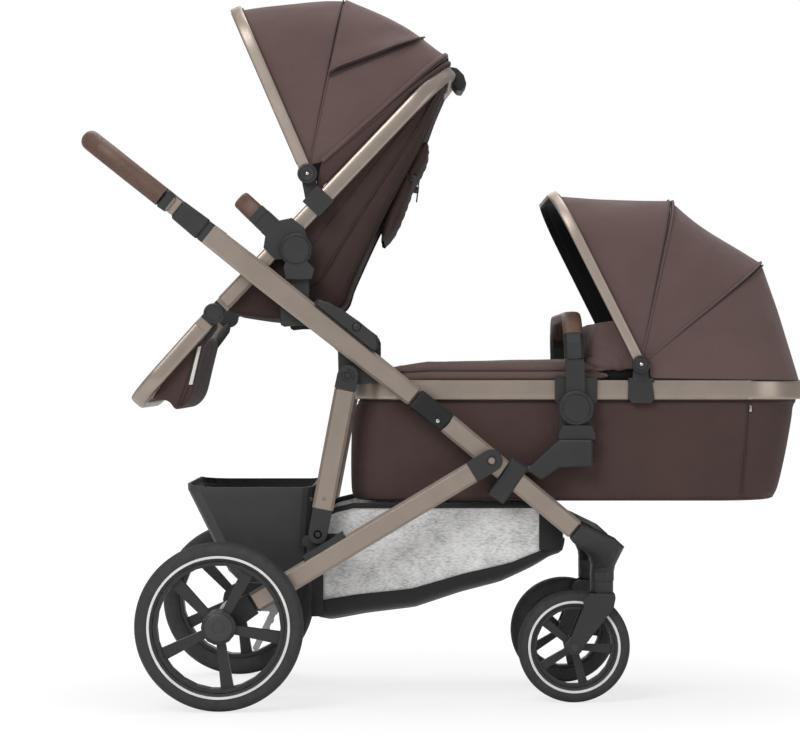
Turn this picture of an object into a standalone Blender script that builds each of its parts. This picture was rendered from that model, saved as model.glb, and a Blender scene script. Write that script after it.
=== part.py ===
"""Twin pram: a folding four-wheel chassis that carries a seat unit above and a carrycot in front.

Frame: metres, +Z up, +X towards the front casters, right-hand side at -Y.
Origin: on the floor, midway along and across the pram.
"""
import math

import bmesh
import bpy
from mathutils import Matrix, Vector

# Sides, and the clearance between pieces that touch
RIGHT = -1.0
LEFT = 1.0
SIDES = (('right', RIGHT), ('left', LEFT))
GAP = 0.0003

# Chassis pivots, as (x, z)
FOLD = (-0.0218, 0.5139)
LEG_PIVOT = (0.0809, 0.4285)
STRUT_TOP = (-0.1673, 0.5752)
STRUT_FOOT = (-0.2194, 0.3000)
REAR_AXLE = (-0.387, 0.145)
FRONT_AXLE = (0.229, 0.0985)
SWIVEL_X = 0.278

# Main tubes: the upper one holds the handle, the lower one runs to the casters
UPPER_ANGLE = -38.44
LOWER_ANGLE = -39.80
TUBE_Y = 0.235
TUBE_WIDTH = 0.024
TUBE_DEPTH = 0.036
UPPER_TOP = (-0.420, 0.8295)
LOWER_START = (0.0115, 0.4870)
LOWER_END = (0.2281, 0.3064)
SLEEVE_LENGTH = 0.055
HANDLE_BORE = 0.150
HANDLE_LEG = (0.0290, 0.0170)

# Handle
HANDLE_REACH = 0.252
HANDLE_CORNER = 0.062
GRIP_RADIUS = 0.018
GRIP_WALL = 0.005

# Rear legs, struts and axle
LEG_ANGLE = 210.9
LEG_DEPTH = 0.037
LEG_Y = (0.2485, 0.2685)
STRUT_Y = (0.2260, 0.2440)
STRUT_WIDTH = 0.037
PLATE_Y = (0.2115, 0.2226)

# Wheels
TRACK_Y = 0.293
REAR_RADIUS = 0.145
FRONT_RADIUS = 0.0985
REAR_TYRE_DEPTH = 0.0320
FRONT_TYRE_DEPTH = 0.0270
REAR_WHEEL = {'radius': REAR_RADIUS, 'bead': REAR_RADIUS - REAR_TYRE_DEPTH,
              'rim': REAR_RADIUS - REAR_TYRE_DEPTH - 0.0070, 'width': 0.045, 'hub': 0.030}
FRONT_WHEEL = {'radius': FRONT_RADIUS, 'bead': FRONT_RADIUS - FRONT_TYRE_DEPTH,
               'rim': FRONT_RADIUS - FRONT_TYRE_DEPTH - 0.0050, 'width': 0.036, 'hub': 0.0160}
SPOKES = 5
CASTER_Y = 0.160
FORK_OUT = 0.030
FORK_IN = 0.022
CROWN_TOP = 0.2144

# Seat unit
SEAT_HINGE = (-0.4012, 0.6832)
SEAT_ANGLE = 46.4
SEAT_Y = (0.1970, 0.2150)
SEAT_TUBE_DEPTH = 0.028
SEAT_LENGTH = 0.593
SEAT_CORNER = 0.095
SEAT_HUB = (-0.2579, 0.7934)
HUB_RADIUS = 0.029
FOOTREST_ANGLE = 228.3
FOOTREST_LENGTH = 0.203
BUMPER_ANGLE = 137.3
SEAT_PIVOT = (-0.2384, 0.9266)
SEAT_BOWS = {'front': (113.5, 0.3277), 'mid': (78.3, 0.3184), 'rear': (40.6, 0.3255)}
SEAT_BOW_Y = 0.1965

# Carrycot
RAIL_Z = (0.5335, 0.5668)
RAIL_X = (-0.1565, 0.6360)
RAIL_Y = 0.2105
RAIL_WALL = 0.008
COT_HUB = (0.2290, 0.5186)
COT_HUB_RADIUS = 0.031
COT_PIVOT = (0.3421, 0.5948)
COT_BOWS = {'front': (116.6, 0.3399), 'mid': (78.4, 0.2959), 'rear': (39.0, 0.2839),
            'edge': (-4.7, 0.2807)}
COT_BOW_Y = 0.2045

# Canopy layers outwards from the inner face of the middle bow
BOW_MID = (0.0, 0.0055)
BOW_CLOTH = (0.0063, 0.0078)
BOW_TAB = (0.0083, 0.0118)
BOW_FRONT = (0.0121, 0.0198)

# Colours: name -> (colour, metallic, roughness)
FINISHES = {
    'champagne_metal': ((0.300, 0.255, 0.222), 0.75, 0.42),
    'black_plastic': ((0.030, 0.033, 0.032), 0.0, 0.48),
    'leather': ((0.145, 0.060, 0.036), 0.0, 0.55),
    'brown_fabric': ((0.105, 0.062, 0.055), 0.0, 0.90),
    'tyre_rubber': ((0.028, 0.030, 0.030), 0.0, 0.85),
    'mesh_fabric': ((0.300, 0.300, 0.295), 0.0, 0.90),
    'tub_plastic': ((0.032, 0.034, 0.033), 0.0, 0.60),
    'grey_plastic': ((0.420, 0.430, 0.430), 0.0, 0.45),
}

for old in list(bpy.data.objects):
    bpy.data.objects.remove(old, do_unlink=True)
PRAM = bpy.data.collections.new('twin_pram')
CUTTERS = bpy.data.collections.new('cutters')
bpy.context.scene.collection.children.link(PRAM)
bpy.context.scene.collection.children.link(CUTTERS)


# Materials and placing

def finish_material(name):
    """The Principled material of one finish, made once."""
    if name in bpy.data.materials:
        return bpy.data.materials[name]
    colour, metallic, roughness = FINISHES[name]
    material = bpy.data.materials.new(name)
    material.use_nodes = True
    shader = material.node_tree.nodes['Principled BSDF']
    shader.inputs['Base Color'].default_value = (*colour, 1.0)
    shader.inputs['Metallic'].default_value = metallic
    shader.inputs['Roughness'].default_value = roughness
    return material


def object_from(work, name, closed=True):
    """A mesh object in the cutters' collection from a finished bmesh."""
    if closed:
        bmesh.ops.recalc_face_normals(work, faces=work.faces)
    mesh = bpy.data.meshes.new(name)
    work.to_mesh(mesh)
    work.free()
    solid = bpy.data.objects.new(name, mesh)
    CUTTERS.objects.link(solid)
    return solid


def keep(solid, name, finish, pivot=(0.0, 0.0, 0.0)):
    """Make a solid one named sub-part, with its own material and its origin on its pivot."""
    if len(solid.modifiers) > 1:
        step = solid.modifiers.new('clean_faces', 'DECIMATE')
        step.decimate_type = 'DISSOLVE'
        step.angle_limit = math.radians(0.6)
    CUTTERS.objects.unlink(solid)
    PRAM.objects.link(solid)
    solid.name = name
    solid.data.name = name
    solid.data.transform(Matrix.Translation(-Vector(pivot)))
    solid.location = pivot
    material = finish_material(finish).copy()
    material.name = name + '_' + finish
    solid.data.materials.clear()
    solid.data.materials.append(material)
    solid.data.shade_smooth()
    solid.data.set_sharp_from_angle(angle=math.radians(35))
    return solid


def boolean(solid, other, operation):
    """Join or cut with another solid, which stays as a hidden tool."""
    step = solid.modifiers.new(operation.lower(), 'BOOLEAN')
    step.operation = operation
    step.solver = 'EXACT'
    step.object = other
    other.hide_render = True
    other.display_type = 'WIRE'
    return solid


def join(solid, *others):
    """Fuse other solids onto one, in turn."""
    for other in others:
        boolean(solid, other, 'UNION')
    return solid


def cut(solid, *others):
    """Cut other solids out of one, in turn."""
    for other in others:
        boolean(solid, other, 'DIFFERENCE')
    return solid


def bevel(solid, width, segments=2, angle=40):
    """Round the edges that are sharper than an angle."""
    step = solid.modifiers.new('rounded_edges', 'BEVEL')
    step.width = width
    step.segments = segments
    step.limit_method = 'ANGLE'
    step.angle_limit = math.radians(angle)
    return solid


# Plane geometry in the side view, with points as (x, z)

def along(start, angle, distance, offset=0.0):
    """The point at a distance along a direction, and offset to its left."""
    a = math.radians(angle)
    x = start[0] + distance * math.cos(a) - offset * math.sin(a)
    z = start[1] + distance * math.sin(a) + offset * math.cos(a)
    return (x, z)


def arc(centre, radius, first, last, steps):
    """Points on an arc from one angle to another, both included."""
    turn = (last - first) / steps
    return [along(centre, first + turn * i, radius) for i in range(steps + 1)]


def bar(start, angle, near, far, depth, end_depth=None):
    """The outline of a straight bar about an axis line."""
    end_depth = depth if end_depth is None else end_depth
    return [along(start, angle, near, depth / 2), along(start, angle, near, -depth / 2),
            along(start, angle, far, -end_depth / 2), along(start, angle, far, end_depth / 2)]


# Solids

def curve_solid(curve, name, matrix):
    """A closed mesh object from a curve, with its caps welded."""
    carrier = bpy.data.objects.new(name, curve)
    CUTTERS.objects.link(carrier)
    carrier.matrix_world = matrix
    bpy.context.view_layer.update()
    depsgraph = bpy.context.evaluated_depsgraph_get()
    mesh = bpy.data.meshes.new_from_object(carrier.evaluated_get(depsgraph))
    work = bmesh.new()
    work.from_mesh(mesh)
    work.transform(carrier.matrix_world)
    bmesh.ops.remove_doubles(work, verts=work.verts, dist=0.00002)
    bpy.data.objects.remove(carrier)
    bpy.data.meshes.remove(mesh)
    return work


def plate(outline, y_first, y_last, name='plate'):
    """A flat outline in the side view, extruded across the pram."""
    low = min(y_first, y_last)
    high = max(y_first, y_last)
    curve = bpy.data.curves.new(name, 'CURVE')
    curve.dimensions = '2D'
    curve.fill_mode = 'BOTH'
    curve.extrude = (high - low) / 2
    spline = curve.splines.new('POLY')
    spline.points.add(len(outline) - 1)
    for point, (x, z) in zip(spline.points, outline):
        point.co = (x, z, 0.0, 1.0)
    spline.use_cyclic_u = True
    stand = Matrix.Rotation(math.pi / 2, 4, 'X')
    work = curve_solid(curve, name, Matrix.Translation((0.0, (low + high) / 2, 0.0)) @ stand)
    bmesh.ops.dissolve_limit(work, angle_limit=0.01, verts=work.verts, edges=work.edges)
    return object_from(work, name)


def rod(start, end, radius, sides=14, name='rod'):
    """A round bar between two points."""
    start = Vector(start)
    end = Vector(end)
    axis = end - start
    turn = axis.to_track_quat('Z', 'Y').to_matrix().to_4x4()
    work = bmesh.new()
    bmesh.ops.create_cone(work, cap_ends=True, segments=sides, radius1=radius, radius2=radius,
                          depth=axis.length, matrix=Matrix.Translation((start + end) / 2) @ turn)
    return object_from(work, name)


def pin(centre, side, y_first, y_last, radius, sides=14):
    """A round bar across the pram at a point of the side view."""
    x, z = centre
    return rod((x, side * y_first, z), (x, side * y_last, z), radius, sides, 'pin')


def block(low, high, name='block'):
    """A box between two corners."""
    low, high = Vector(low), Vector(high)
    size = Vector([abs(h - l) for l, h in zip(low, high)])
    place = Matrix.Translation((low + high) / 2) @ Matrix.Diagonal((*size, 1.0))
    work = bmesh.new()
    bmesh.ops.create_cube(work, size=1.0, matrix=place)
    return object_from(work, name)


def section_curve(width, height, corner=0.35, sides=4):
    """A closed section with rounded corners, for a rail's bevel."""
    radius = corner * min(width, height) * 0.999
    curve = bpy.data.curves.new('section', 'CURVE')
    curve.dimensions = '2D'
    points = []
    for quarter in range(4):
        sx = 1 if quarter in (0, 3) else -1
        sy = 1 if quarter in (0, 1) else -1
        centre = (sx * (width / 2 - radius), sy * (height / 2 - radius))
        if sides:
            points += arc(centre, radius, 90 * quarter, 90 * quarter + 90, sides)
        else:
            points.append((sx * width / 2, sy * height / 2))
    kept = []
    for point in points:
        if not kept or math.dist(point, kept[-1]) > 1e-5:
            kept.append(point)
    if math.dist(kept[0], kept[-1]) < 1e-5:
        kept.pop()
    spline = curve.splines.new('POLY')
    spline.points.add(len(kept) - 1)
    for point, (x, y) in zip(spline.points, kept):
        point.co = (x, y, 0.0, 1.0)
    spline.use_cyclic_u = True
    return curve


def rail(path, width, height, place, corner=0.35, sides=3, cyclic=False, capped=True):
    """A bent bar: a path in a local plane, its section as wide in the plane and as high out of it."""
    section = bpy.data.objects.new('section', section_curve(width, height, corner, sides))
    CUTTERS.objects.link(section)
    curve = bpy.data.curves.new('rail', 'CURVE')
    curve.dimensions = '3D'
    curve.twist_mode = 'Z_UP'
    curve.bevel_mode = 'OBJECT'
    curve.bevel_object = section
    curve.use_fill_caps = capped
    spline = curve.splines.new('POLY')
    spline.points.add(len(path) - 1)
    for point, (x, y) in zip(spline.points, path):
        point.co = (x, y, 0.0, 1.0)
    spline.use_cyclic_u = cyclic
    work = curve_solid(curve, 'rail', place)
    bpy.data.objects.remove(section)
    return object_from(work, 'rail')


def leaning_plane(origin, angle):
    """A local plane: +X along a direction of the side view, +Y across the pram."""
    a = math.radians(angle)
    x_axis = Vector((math.cos(a), 0.0, math.sin(a)))
    y_axis = Vector((0.0, 1.0, 0.0))
    z_axis = x_axis.cross(y_axis)
    turn = Matrix((x_axis, y_axis, z_axis)).transposed().to_4x4()
    return Matrix.Translation((origin[0], 0.0, origin[1])) @ turn


def hoop(half_width, reach, corner, foot, steps=6):
    """A U-shaped path from one foot round to the other, as (reach, across) points."""
    centre = reach - corner
    path = [(foot, -half_width)]
    for i in range(steps + 1):
        a = math.radians(90.0 * i / steps)
        path.append((centre + corner * math.sin(a), -half_width + corner * (1 - math.cos(a))))
    for i in range(steps + 1):
        a = math.radians(90.0 * (1 - i / steps))
        path.append((centre + corner * math.sin(a), half_width - corner * (1 - math.cos(a))))
    path.append((foot, half_width))
    return path


def sheet(rows, thickness, inside, closed_end=False, offset=-1.0, loop=False):
    """An open surface through rows of points, thickened towards a point inside."""
    work = bmesh.new()
    grid = [[work.verts.new(point) for point in row] for row in rows]
    for first, second in zip(grid, grid[1:]):
        count = len(first)
        for i in range(count if loop else count - 1):
            j = (i + 1) % count
            work.faces.new((first[i], first[j], second[j], second[i]))
    if closed_end:
        work.faces.new(grid[-1])
    bmesh.ops.recalc_face_normals(work, faces=work.faces)
    facing = sum((face.calc_center_median() - Vector(inside)).dot(face.normal) * face.calc_area()
                 for face in work.faces)
    if facing < 0.0:
        bmesh.ops.reverse_faces(work, faces=work.faces)
    solid = object_from(work, 'sheet', False)
    step = solid.modifiers.new('thickness', 'SOLIDIFY')
    step.thickness = thickness
    step.offset = offset
    step.use_even_offset = True
    return solid


def loft(rings):
    """A closed solid through rings of equal count, capped at both ends."""
    work = bmesh.new()
    grid = [[work.verts.new(point) for point in ring] for ring in rings]
    for first, second in zip(grid, grid[1:]):
        for i in range(len(first)):
            j = (i + 1) % len(first)
            work.faces.new((first[i], first[j], second[j], second[i]))
    work.faces.new(grid[0])
    work.faces.new(grid[-1])
    return object_from(work, 'loft')


def oval_ring(top, bottom, y_centre, y_half, power=2.6, count=20):
    """A ring through two points of the side view, swelling across the pram."""
    middle = ((top[0] + bottom[0]) / 2, (top[1] + bottom[1]) / 2)
    half = ((top[0] - bottom[0]) / 2, (top[1] - bottom[1]) / 2)
    ring = []
    for i in range(count):
        a = 2 * math.pi * (i + 0.5) / count
        c = math.copysign(abs(math.cos(a)) ** (2 / power), math.cos(a))
        s = math.copysign(abs(math.sin(a)) ** (2 / power), math.sin(a))
        ring.append((middle[0] + half[0] * c, y_centre + y_half * s, middle[1] + half[1] * c))
    return ring


def turned(profile, steps, centre, side):
    """A profile of (radius, outward) points turned about an axis across the pram."""
    work = bmesh.new()
    points = [work.verts.new((radius, 0.0, out)) for radius, out in profile]
    for first, second in zip(points, points[1:]):
        work.edges.new((first, second))
    if profile[0][0] > 0.0:
        work.edges.new((points[-1], points[0]))
    mesh = bpy.data.meshes.new('profile')
    work.to_mesh(mesh)
    work.free()
    carrier = bpy.data.objects.new('turned', mesh)
    CUTTERS.objects.link(carrier)
    step = carrier.modifiers.new('turn', 'SCREW')
    step.steps = steps
    step.render_steps = steps
    step.use_merge_vertices = True
    step.merge_threshold = 0.00001
    carrier.matrix_world = (Matrix.Translation(centre)
                            @ Matrix.Rotation(-side * math.pi / 2, 4, 'X'))
    bpy.context.view_layer.update()
    depsgraph = bpy.context.evaluated_depsgraph_get()
    solid_mesh = bpy.data.meshes.new_from_object(carrier.evaluated_get(depsgraph))
    work = bmesh.new()
    work.from_mesh(solid_mesh)
    work.transform(carrier.matrix_world)
    bmesh.ops.remove_doubles(work, verts=work.verts, dist=0.00001)
    bpy.data.objects.remove(carrier)
    bpy.data.meshes.remove(solid_mesh)
    return object_from(work, 'turned')


def rounded_plan(x_low, x_high, half_width, corner_low, corner_high, steps=4):
    """A rounded rectangle in plan, as (x, y) points, anticlockwise from the right front corner."""
    corners = (((x_high - corner_high, -half_width + corner_high), corner_high, -90),
               ((x_high - corner_high, half_width - corner_high), corner_high, 0),
               ((x_low + corner_low, half_width - corner_low), corner_low, 90),
               ((x_low + corner_low, -half_width + corner_low), corner_low, 180))
    points = []
    for centre, radius, first in corners:
        points += arc(centre, radius, first, first + 90, steps)
    return points


def blend_value(x, stations):
    """Read a value at x from (x, value) stations with straight runs between them."""
    if x <= stations[0][0]:
        return stations[0][1]
    for (x0, v0), (x1, v1) in zip(stations, stations[1:]):
        if x <= x1:
            return v0 + (v1 - v0) * (x - x0) / (x1 - x0)
    return stations[-1][1]


# Main tubes, fold joints and seat mounts

FOLD_RADIUS = 0.036
TONGUE_Y = (0.2310, 0.2390)
HOUSING_Y = (0.2215, 0.2485)
BUTTON_CENTRE = (-0.1520, 0.6590)
BUTTON_RADIUS = 0.0075
BUTTON_SEAT = 0.2440


def upper_outline(extra):
    """The upper tube in the side view: swelling a little below its mouth, slimmer at the fold."""
    edge = ((0.0, 0.0190), (0.1400, 0.0208), (0.4720, 0.0180))
    upper = [along(UPPER_TOP, UPPER_ANGLE, reach, half + extra) for reach, half in edge]
    lower = [along(UPPER_TOP, UPPER_ANGLE, reach, -half - extra) for reach, half in reversed(edge)]
    return upper + lower


def upper_tube(name, side):
    """The upper main tube, with the handle's guide sleeve and bore at its top."""
    near, far = side * (TUBE_Y - TUBE_WIDTH / 2), side * (TUBE_Y + TUBE_WIDTH / 2)
    tube = bevel(plate(upper_outline(0.0), near, far), 0.005, 1)
    sleeve = plate(bar(UPPER_TOP, UPPER_ANGLE, -SLEEVE_LENGTH, 0.004, 0.0365, 0.0410),
                   side * (TUBE_Y - 0.0135), side * (TUBE_Y + 0.0135))
    bevel(sleeve, 0.004, 1)
    depth, width = HANDLE_LEG
    bore = plate(bar(UPPER_TOP, UPPER_ANGLE, -SLEEVE_LENGTH - 0.01, HANDLE_BORE, depth + 2 * GAP),
                 side * (TUBE_Y - width / 2 - GAP), side * (TUBE_Y + width / 2 + GAP))
    join(tube, sleeve)
    cut(tube, bore)
    return keep(tube, name, 'champagne_metal', (FOLD[0], 0.0, FOLD[1]))


def fold_housing(name, side):
    """The clevis at the fold joint: two cheeks round the lower tube's tongue, and the pin."""
    end = math.sqrt(FOLD_RADIUS ** 2 - 0.018 ** 2)
    turn = math.degrees(math.atan2(0.018, end))
    start = 0.4720 + GAP
    outline = [along(UPPER_TOP, UPPER_ANGLE, start, 0.0186), along(UPPER_TOP, UPPER_ANGLE, start, -0.0186)]
    outline += arc(FOLD, FOLD_RADIUS, UPPER_ANGLE - turn, UPPER_ANGLE + turn, 8)
    housing = bevel(plate(outline, side * HOUSING_Y[0], side * HOUSING_Y[1]), 0.003, 1)
    slot = [along(FOLD, LOWER_ANGLE, 0.0, -0.0118), along(FOLD, LOWER_ANGLE, 0.06, -0.0118),
            along(FOLD, LOWER_ANGLE + 22.0, 0.06, 0.0118), along(FOLD, LOWER_ANGLE + 22.0, 0.0, 0.0118)]
    slot = plate(slot, side * (TONGUE_Y[0] - 2 * GAP), side * (TONGUE_Y[1] + 2 * GAP))
    well = pin(FOLD, side, TONGUE_Y[0] - 2 * GAP, TONGUE_Y[1] + 2 * GAP, 0.0155)
    cut(housing, slot, well)
    join(housing, pin(FOLD, side, 0.2250, 0.2450, 0.0050))
    return keep(housing, name, 'black_plastic', (FOLD[0], 0.0, FOLD[1]))


def lower_tube(name, side):
    """The lower main tube, with its tongue for the fold pin and the rear leg's stud."""
    near, far = side * (TUBE_Y - TUBE_WIDTH / 2), side * (TUBE_Y + TUBE_WIDTH / 2)
    length = math.dist(LOWER_START, LOWER_END)
    tube = bevel(plate(bar(LOWER_START, LOWER_ANGLE, -0.030, length, TUBE_DEPTH), near, far), 0.005, 1)
    cut(tube, pin(FOLD, side, TUBE_Y - 0.03, TUBE_Y + 0.03, FOLD_RADIUS + 0.0008, 40))
    tongue = plate(bar(FOLD, LOWER_ANGLE, 0.0, 0.060, 0.022), side * TONGUE_Y[0], side * TONGUE_Y[1])
    eye = pin(FOLD, side, TONGUE_Y[0], TONGUE_Y[1], 0.014)
    stud = pin(LEG_PIVOT, side, TUBE_Y, LEG_Y[1] - 0.0015, 0.0060)
    join(tube, tongue, eye, stud)
    cut(tube, pin(FOLD, side, TONGUE_Y[0] - 0.005, TONGUE_Y[1] + 0.005, 0.0050 + GAP))
    return keep(tube, name, 'champagne_metal')


def seat_mount(name, side):
    """The saddle on the upper tube: seat socket inboard, cover above and strut lug below."""
    inner, outer = PLATE_Y
    web = [(-0.2840, 0.6985), (-0.2320, 0.6985), (-0.2197, 0.7090), (-0.1781, 0.6907),
           (-0.1165, 0.6444), (-0.1132, 0.6353), (-0.1132, 0.5623), (-0.1512, 0.5600),
           (-0.1840, 0.5700), (-0.1850, 0.6168), (-0.2300, 0.6620), (-0.2840, 0.6620)]
    saddle = plate(web, side * inner, side * outer)
    cover = [along(UPPER_TOP, UPPER_ANGLE, 0.2380, 0.0100), (-0.2205, 0.7075), (-0.2000, 0.7015),
             (-0.1781, 0.6897), (-0.1480, 0.6690), (-0.1175, 0.6440), (-0.1145, 0.6353), (-0.1145, 0.6205),
             along(UPPER_TOP, UPPER_ANGLE, 0.3600, 0.0100)]
    cover = bevel(plate(cover, side * (inner + 0.001), side * 0.2500), 0.0035, 1)
    socket = plate([(-0.2850, 0.6997), (-0.2250, 0.6997), (-0.2250, 0.6660), (-0.2790, 0.6600),
                    (-0.2850, 0.6660)], side * 0.1975, side * 0.2210)
    join(saddle, cover, socket)
    join(saddle, pin(STRUT_TOP, side, outer - 0.004, STRUT_Y[1] - 0.0015, 0.0060, 12))
    pocket = block((-0.2685, side * 0.2022, 0.6760), (-0.2415, side * 0.2163, 0.7060))
    tube = plate(upper_outline(GAP), side * (TUBE_Y - TUBE_WIDTH / 2 - GAP), side * 0.26)
    well = pin(BUTTON_CENTRE, side, BUTTON_SEAT - 0.0050, 0.26, BUTTON_RADIUS + 0.0004)
    cut(saddle, pocket, tube, well)
    return keep(saddle, name, 'black_plastic', (FOLD[0], 0.0, FOLD[1]))


def seat_button(name, side):
    """The push button that frees the seat, domed and proud of the cover."""
    x, z = BUTTON_CENTRE
    profile = [(0.0, BUTTON_SEAT + 0.0085), (0.0040, BUTTON_SEAT + 0.0080), (0.0065, BUTTON_SEAT + 0.0065),
               (BUTTON_RADIUS, BUTTON_SEAT + 0.0045), (BUTTON_RADIUS, BUTTON_SEAT), (0.0, BUTTON_SEAT)]
    button = turned(profile, 16, (x, 0.0, z), side)
    return keep(button, name, 'black_plastic', (x, side * BUTTON_SEAT, z))


# Push handle

def handle_pieces():
    """The U-shaped handle bar and its leather grip."""
    place = leaning_plane(UPPER_TOP, UPPER_ANGLE + 180.0)
    depth, width = HANDLE_LEG
    core = GRIP_RADIUS - GRIP_WALL - GAP
    path = hoop(TUBE_Y, HANDLE_REACH, HANDLE_CORNER, 0.075, 4)
    bar_core = rail(path, 2 * core, 2 * core, place, 0.5, 2)
    for side in (RIGHT, LEFT):
        leg = plate(bar(UPPER_TOP, UPPER_ANGLE + 180.0, 0.012 - HANDLE_BORE, 0.080, depth),
                    side * (TUBE_Y - width / 2), side * (TUBE_Y + width / 2))
        cap = plate(bar(UPPER_TOP, UPPER_ANGLE + 180.0, 0.066, 0.0885, 0.034, 0.037),
                    side * (TUBE_Y - 0.0165), side * (TUBE_Y + 0.0165))
        join(bar_core, leg, bevel(cap, 0.005, 1))
    keep(bar_core, 'handle_bar', 'black_plastic', (UPPER_TOP[0], 0.0, UPPER_TOP[1]))
    path = hoop(TUBE_Y, HANDLE_REACH, HANDLE_CORNER, 0.0885 + GAP, 4)
    grip = rail(path, 2 * GRIP_RADIUS, 2 * GRIP_RADIUS, place, 0.5, 2, capped=False)
    wall = grip.modifiers.new('wall', 'SOLIDIFY')
    wall.thickness = GRIP_WALL
    wall.offset = -1.0
    keep(grip, 'handle_grip', 'leather', (UPPER_TOP[0], 0.0, UPPER_TOP[1]))


# Rear frame

LUG_Y = (0.2120, 0.2235)
BOSS = (-0.2380, 0.2860)
LEG_START = 0.0393
LEG_REACH = 0.4803


def rear_leg(name, side):
    """A rear leg: flat oval tube, pivot end cap, and the lug that carries the strut's foot."""
    y_in, y_out = side * LEG_Y[0], side * LEG_Y[1]
    leg = bevel(plate(bar(LEG_PIVOT, LEG_ANGLE, LEG_START - 0.004, LEG_REACH, LEG_DEPTH),
                      y_in + side * 0.0005, y_out - side * 0.0005), 0.005, 1)
    cap = [along(LEG_PIVOT, LEG_ANGLE, LEG_START, -0.0192), along(LEG_PIVOT, LEG_ANGLE, LEG_START, 0.0192)]
    cap = arc(LEG_PIVOT, 0.0192, LEG_ANGLE + 90.0, LEG_ANGLE + 270.0, 10) + cap
    cap = plate(cap, y_in, y_out)
    top = -LEG_DEPTH / 2
    foot = [along(LEG_PIVOT, LEG_ANGLE, reach, top + rise)
            for reach, rise in ((0.2850, 0.004), (0.2850, -0.008), (0.3640, -0.008), (0.3640, 0.004))]
    foot = plate(foot, side * LUG_Y[0], y_out - side * 0.0030)
    lug = [along(LEG_PIVOT, LEG_ANGLE, 0.3640, top - 0.002), along(LEG_PIVOT, LEG_ANGLE, 0.2850, top - 0.002)]
    lug = arc(STRUT_FOOT, 0.0150, 0.0, 180.0, 8) + lug
    lug = plate(lug, side * (LUG_Y[0] + 0.0004), side * LUG_Y[1])
    join(leg, cap, foot, lug, pin(STRUT_FOOT, side, LUG_Y[1] - 0.004, STRUT_Y[1] - 0.001, 0.0050, 12))
    cut(leg, pin(LEG_PIVOT, side, LEG_Y[0] - 0.01, LEG_Y[1] + 0.01, 0.0060 + GAP))
    return keep(leg, name, 'champagne_metal', (LEG_PIVOT[0], 0.0, LEG_PIVOT[1]))


def rear_axle():
    """The rear cross beam, with a moulded housing and a stub axle at each end."""
    x, z = REAR_AXLE
    beam = rod((x, -0.252, z), (x, 0.252, z), 0.0135, 16)
    for side in (RIGHT, LEFT):
        end = [along(LEG_PIVOT, LEG_ANGLE, LEG_REACH + GAP, 0.0195),
               along(LEG_PIVOT, LEG_ANGLE, LEG_REACH + GAP, -0.0195)]
        housing = end + arc(REAR_AXLE, 0.0230, 100.0, 290.0, 9)
        housing = plate(housing, side * 0.2470, side * 0.2690)
        join(beam, housing, pin(REAR_AXLE, side, 0.26, 0.3100, 0.0052, 10))
    return keep(beam, 'rear_axle', 'black_plastic', (LEG_PIVOT[0], 0.0, LEG_PIVOT[1]))


def rear_tub():
    """The moulded storage tub between the rear legs, open at the top, with a rolled rim."""
    levels = ((-0.4510, -0.2262, 0.2050, 0.3800, 0.012), (-0.4505, -0.2275, 0.2045, 0.3700, 0.010),
              (-0.4360, -0.2300, 0.2010, 0.3430, 0.004), (-0.4085, -0.2330, 0.1950, 0.2880, 0.0),
              (-0.3800, -0.2400, 0.1850, 0.2300, 0.0), (-0.3620, -0.2500, 0.1720, 0.2120, 0.0),
              (-0.3400, -0.2700, 0.1500, 0.2080, 0.0))
    rows = []
    for x_low, x_high, half, z, lift in levels:
        plan = rounded_plan(x_low, x_high, half, min(0.05, (x_high - x_low) / 3), 0.02, 3)
        rows.append([(x, y, z + lift * (1 - (y / half) ** 2)) for x, y in plan])
    tub = sheet(rows, 0.0035, (-0.34, 0.0, 0.36), closed_end=True, loop=True)
    for side in (RIGHT, LEFT):
        join(tub, pin(BOSS, side, 0.1925, LUG_Y[0] - GAP, 0.0100, 16))
    return keep(tub, 'rear_tub', 'tub_plastic', (LEG_PIVOT[0], 0.0, LEG_PIVOT[1]))


def brake_pedal():
    """The foot brake: a ring round the cross beam with a ribbed plate hanging in front."""
    x, z = REAR_AXLE
    ring = pin(REAR_AXLE, RIGHT, -0.0350, 0.0350, 0.0190)
    pad = [(-0.3880, 0.1628), (-0.3600, 0.1655), (-0.2985, 0.1620), (-0.2950, 0.1560), (-0.3330, 0.0790),
           (-0.3400, 0.0775), (-0.3445, 0.0810), (-0.3120, 0.1480), (-0.3600, 0.1500), (-0.3750, 0.1430)]
    pad = bevel(plate(pad, -0.0300, 0.0300), 0.0018, 1)
    join(ring, pad)
    for i in range(4):
        rib = along((-0.2960, 0.1540), 243.5, 0.012 + 0.017 * i)
        join(ring, rod((rib[0], -0.026, rib[1]), (rib[0], 0.026, rib[1]), 0.0022, 6))
    cut(ring, pin(REAR_AXLE, RIGHT, -0.05, 0.05, 0.0135 + 0.0005))
    return keep(ring, 'brake_pedal', 'grey_plastic', (x, 0.0, z))


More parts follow.
